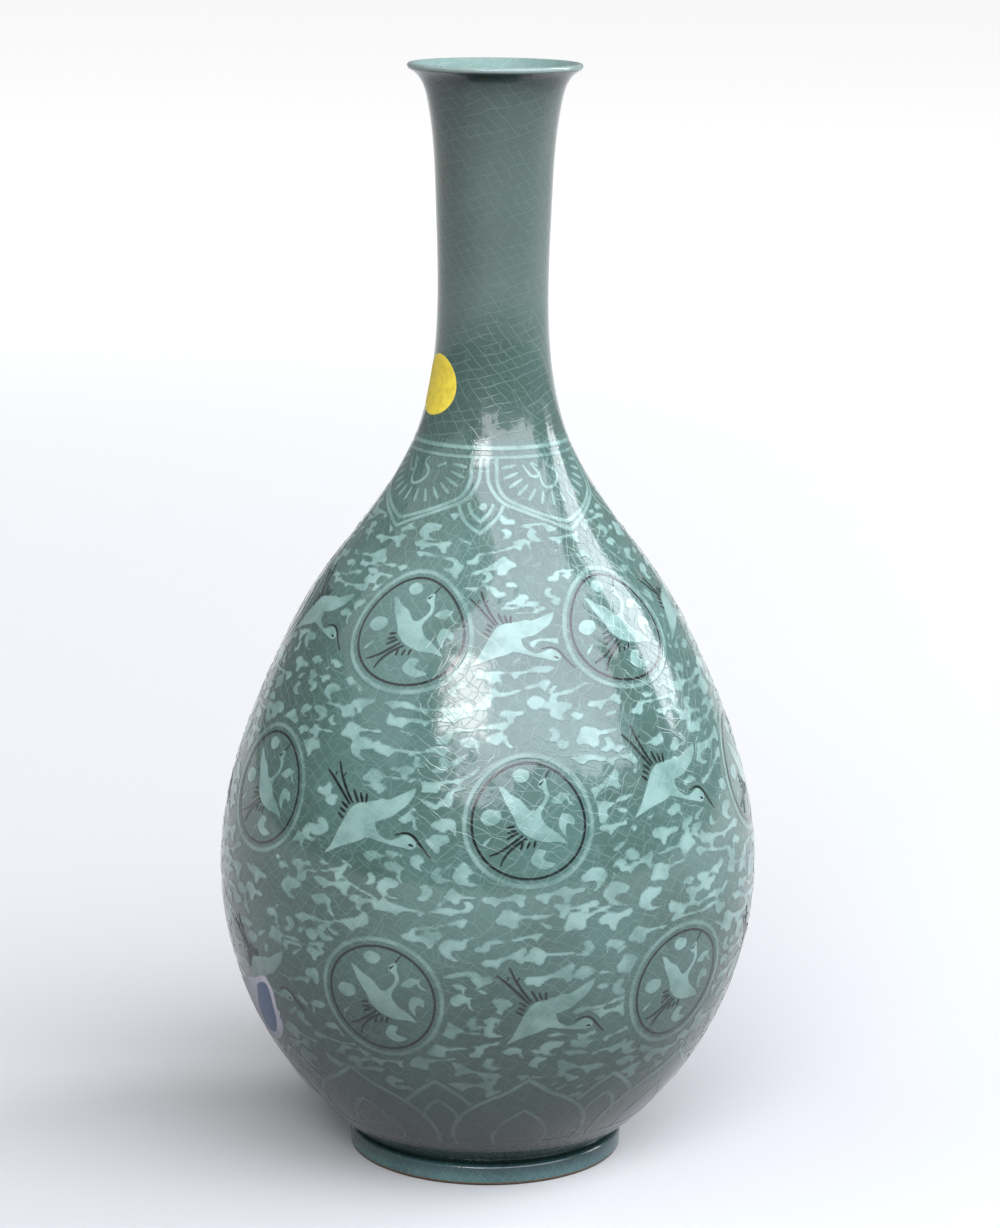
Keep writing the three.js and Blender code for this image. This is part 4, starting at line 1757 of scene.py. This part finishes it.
@dataclass
class PaperLabels:
    """Two bare paper labels stuck on the glaze: a round one, and a torn one with a plain blue field."""

    form: ThrownForm
    finishes: Finishes
    dot_radius: float = 9.5
    dot_place: tuple[float, float] = (-62.8, 248.0)
    torn_place: tuple[float, float] = (-66.5, 55.5)
    dot_lift: float = 0.14
    torn_lift: float = 0.2
    blue_lift: float = 0.26
    torn: Flat = (
        (-16.0, 3.5), (-9.2, 6.5), (-2.7, 7.9), (5.5, 10.4), (10.5, 12.4), (13.6, 12.6), (16.0, 9.4),
        (15.9, 5.3), (15.4, 2.5), (16.4, 0.8), (15.2, -0.8), (15.0, -4.2), (10.8, -8.9), (4.0, -12.2),
        (-3.4, -13.8), (-14.0, -9.0),
    )
    blue: Flat = (
        (5.7, 8.2), (9.9, 10.3), (13.0, 10.5), (14.2, 8.5), (14.2, 5.8), (13.5, 2.2), (12.6, -2.0),
        (8.9, -7.2), (5.2, -9.4), (0.8, -9.8), (-2.0, -7.6), (-1.8, -3.8), (0.6, 0.5), (3.7, 4.8),
    )

    def build(self) -> None:
        """Builds the round label on the neck and the torn one on the belly."""
        draft = Draft()
        dot = arc((0, 0), self.dot_radius, 0, 354, 59)
        draft.patch(dot, Spot(self.form, *self.dot_place), self.dot_lift)
        draft.piece("round_paper_label", (self.finishes.yellow_paper,), "white_slip")
        draft = Draft()
        spot = Spot(self.form, *self.torn_place)
        draft.patch(rounded(self.torn, (0, 9, 10, 15)), spot, self.torn_lift)
        draft.patch(rounded(self.blue), spot, self.blue_lift, finish=1)
        draft.piece("torn_paper_label", (self.finishes.white_paper, self.finishes.blue_paper), "white_slip")


@dataclass
class Lamp:
    """A softbox, placed by the direction and the distance from which it lights the vase."""

    name: str
    azimuth: float
    elevation: float
    distance: float
    size: tuple[float, float]
    power: float
    colour: str
    ragged: float = 0.0
    clear_reach: float = 0.4
    edge_blur: float = 0.01
    edge_level: float = 0.12
    aim: tuple[float, float, float] = (0.0, 0.0, 0.17)

    def mottle(self, data: bpy.types.AreaLight) -> None:
        """Lets the lamp shine through an uneven diffuser, brighter in its middle and ragged at its edges.

        Args:
            data: The lamp.
        """
        data.use_nodes = True
        tree = data.node_tree
        spot = add_node(tree, "NewGeometry", out="Parametric")
        settings = {"Scale": 5.0, "Detail": 7.0, "Roughness": 0.62}
        cloth = add_node(tree, "TexNoise", settings, {"Vector": spot})
        sides = []
        for axis in "XY":
            along = add_node(tree, "SeparateXYZ", links={0: spot}, out=axis)
            off = add_node(tree, "Math", {"operation": "SUBTRACT", 1: 0.5}, {0: along})
            sides.append(add_node(tree, "Math", {"operation": "ABSOLUTE"}, {0: off}))
        far = add_node(tree, "Math", {"operation": "MAXIMUM"}, dict(enumerate(sides)))
        settings = {"operation": "MULTIPLY_ADD", 1: -self.ragged}
        ragged = add_node(tree, "Math", settings, {0: cloth, 2: far})
        edge = self.clear_reach - self.ragged / 2
        settings = {"From Min": edge - self.edge_blur, "From Max": edge + self.edge_blur}
        settings |= {"To Min": 1.0, "To Max": self.edge_level}
        level = add_node(tree, "MapRange", settings, {"Value": ragged})
        tree.links.new(level, tree.nodes["Emission"].inputs["Strength"])

    def build(self) -> None:
        """Hangs the softbox so that it faces the vase."""
        data = bpy.data.lights.new(self.name, "AREA")
        data.shape = "RECTANGLE"
        data.size, data.size_y = self.size
        data.energy = self.power
        data.color = linear(self.colour)[:3]
        if self.ragged:
            self.mottle(data)
        lamp = bpy.data.objects.new(self.name, data)
        azimuth, elevation = math.radians(self.azimuth), math.radians(self.elevation)
        level = math.cos(elevation)
        way = Vector((math.sin(azimuth) * level, -math.cos(azimuth) * level, math.sin(elevation)))
        lamp.location = Vector(self.aim) + way * self.distance
        lamp.rotation_euler = way.to_track_quat("Z", "Y").to_euler()
        bpy.context.scene.collection.objects.link(lamp)


@dataclass
class Studio:
    """A plain pale floor, soft lamps and the camera at the photograph's viewing angle."""

    floor_radius: float = 14.0
    floor_colour: str = "#c9cbca"
    floor_shade: str = "#1a1a19"
    wall_colour: str = "#eef1f4"
    glow: float = 0.9
    glow_from: float = 0.12
    glow_to: float = 2.5
    world_level: float = 0.05
    wall_level: float = 0.4
    camera_place: tuple[float, float, float] = (0.00315, -1.1206, 0.4145)
    pitch: float = 12.118
    roll: float = 0.575
    lens: float = 106.73
    sensor_height: float = 36.0
    farthest: float = 60.0
    lamps: tuple[Lamp, ...] = (
        Lamp("front_softbox", 29, 43, 2.4, (5.3, 2.15), 208, "#f4f3ff", ragged=0.9),
        Lamp("front_flash", -14, 36, 2.3, (1.1, 0.5), 17, "#fffaf6", ragged=1.1),
        Lamp("right_softbox", 109, 32, 2.2, (0.8, 1.9), 42, "#f6f8ff", ragged=0.3),
        Lamp("left_softbox", -75, 45, 2.4, (2.6, 1.8), 14, "#f6f8ff"),
        Lamp("top_softbox", 20, 84, 1.7, (1.4, 1.4), 4, "#f8faff"),
    )

    def floor(self) -> None:
        """Lays the floor. It is pale to the eye, and throws little light up at the vase."""
        mesh = bpy.data.meshes.new("floor")
        ring = np.column_stack([circle(self.floor_radius), np.zeros(CIRCLE_SIDES)])
        mesh.from_pydata(ring.tolist(), [], [list(range(CIRCLE_SIDES))])
        floor = bpy.data.objects.new("floor", mesh)
        bpy.context.scene.collection.objects.link(floor)
        material = bpy.data.materials.new("floor_painted_board")
        material.use_nodes = True
        tree = material.node_tree
        tree.nodes.remove(tree.nodes["Principled BSDF"])
        seen = self.seen(tree)
        settings = {"data_type": "RGBA", FIRST: linear(self.floor_shade), SECOND: linear(self.floor_colour)}
        colour = add_node(tree, "Mix", settings, {SHARE: seen}, BLENDED)
        matt = add_node(tree, "BsdfDiffuse", links={"Color": colour})
        place = add_node(tree, "TexCoord", out="Object")
        away = add_node(tree, "VectorMath", {"operation": "LENGTH"}, {0: place}, "Value")
        settings = {"From Min": self.glow_from, "From Max": self.glow_to, "To Max": self.glow}
        level = add_node(tree, "MapRange", settings, {"Value": away})
        glow = add_node(tree, "Math", {"operation": "MULTIPLY"}, {0: level, 1: seen})
        light = add_node(tree, "Emission", links={"Strength": glow})
        both = add_node(tree, "AddShader", links={0: matt, 1: light})
        tree.links.new(both, tree.nodes["Material Output"].inputs["Surface"])
        mesh.materials.append(material)

    def seen(self, tree: Tree) -> Socket:
        """Finds the rays by which a thing is seen, straight or mirrored.

        Args:
            tree: The nodes that get it.

        Returns:
            1 for such a ray, and 0 for one that lights another thing.
        """
        seen = add_node(tree, "LightPath", out="Is Camera Ray")
        for kind in ("Is Glossy Ray", "Is Transmission Ray"):
            links = {0: seen, 1: add_node(tree, "LightPath", out=kind)}
            seen = add_node(tree, "Math", {"operation": "MAXIMUM"}, links)
        return seen

    def world(self) -> None:
        """Fills the room with an even, weak light, from walls that look pale."""
        world = bpy.data.worlds.new("room")
        world.use_nodes = True
        tree = world.node_tree
        settings = {"To Min": self.world_level, "To Max": self.wall_level}
        level = add_node(tree, "MapRange", settings, {"Value": self.seen(tree)})
        tree.nodes["Background"].inputs["Color"].default_value = linear(self.wall_colour)
        tree.links.new(level, tree.nodes["Background"].inputs["Strength"])
        bpy.context.scene.world = world

    def camera(self) -> None:
        """Sets up the camera."""
        data = bpy.data.cameras.new("camera")
        data.lens = self.lens
        data.sensor_fit = "VERTICAL"
        data.sensor_height = self.sensor_height
        data.clip_end = self.farthest
        camera = bpy.data.objects.new("camera", data)
        camera.matrix_world = (
            Matrix.Translation(self.camera_place)
            @ Matrix.Rotation(math.radians(90 - self.pitch), 4, "X")
            @ Matrix.Rotation(math.radians(self.roll), 4, "Z")
        )
        bpy.context.scene.collection.objects.link(camera)
        bpy.context.scene.camera = camera

    def build(self) -> None:
        """Builds the studio."""
        self.floor()
        self.world()
        self.camera()
        for lamp in self.lamps:
            lamp.build()
        bpy.context.scene.view_settings.view_transform = "Standard"


def main() -> None:
    """Builds the vase and its studio, piece by piece."""
    logging.basicConfig(level=logging.INFO, format="%(name)s: %(message)s")
    form = ThrownForm()
    finishes = Finishes()
    roundels = Roundels(form, finishes)
    cranes = FlyingCranes(form, finishes)
    ThrownBody(form, finishes).build()
    TurnedLines(form, finishes).build()
    roundels.build()
    cranes.build()
    lappets = CollarLappets(form, finishes)
    petals = LotusPetals(form, finishes)
    lappets.build()
    petals.build()
    CloudField(form, finishes, roundels, cranes, petals, lappets).build()
    PaperLabels(form, finishes).build()
    Studio().build()


if __name__ == "__main__":
    main()
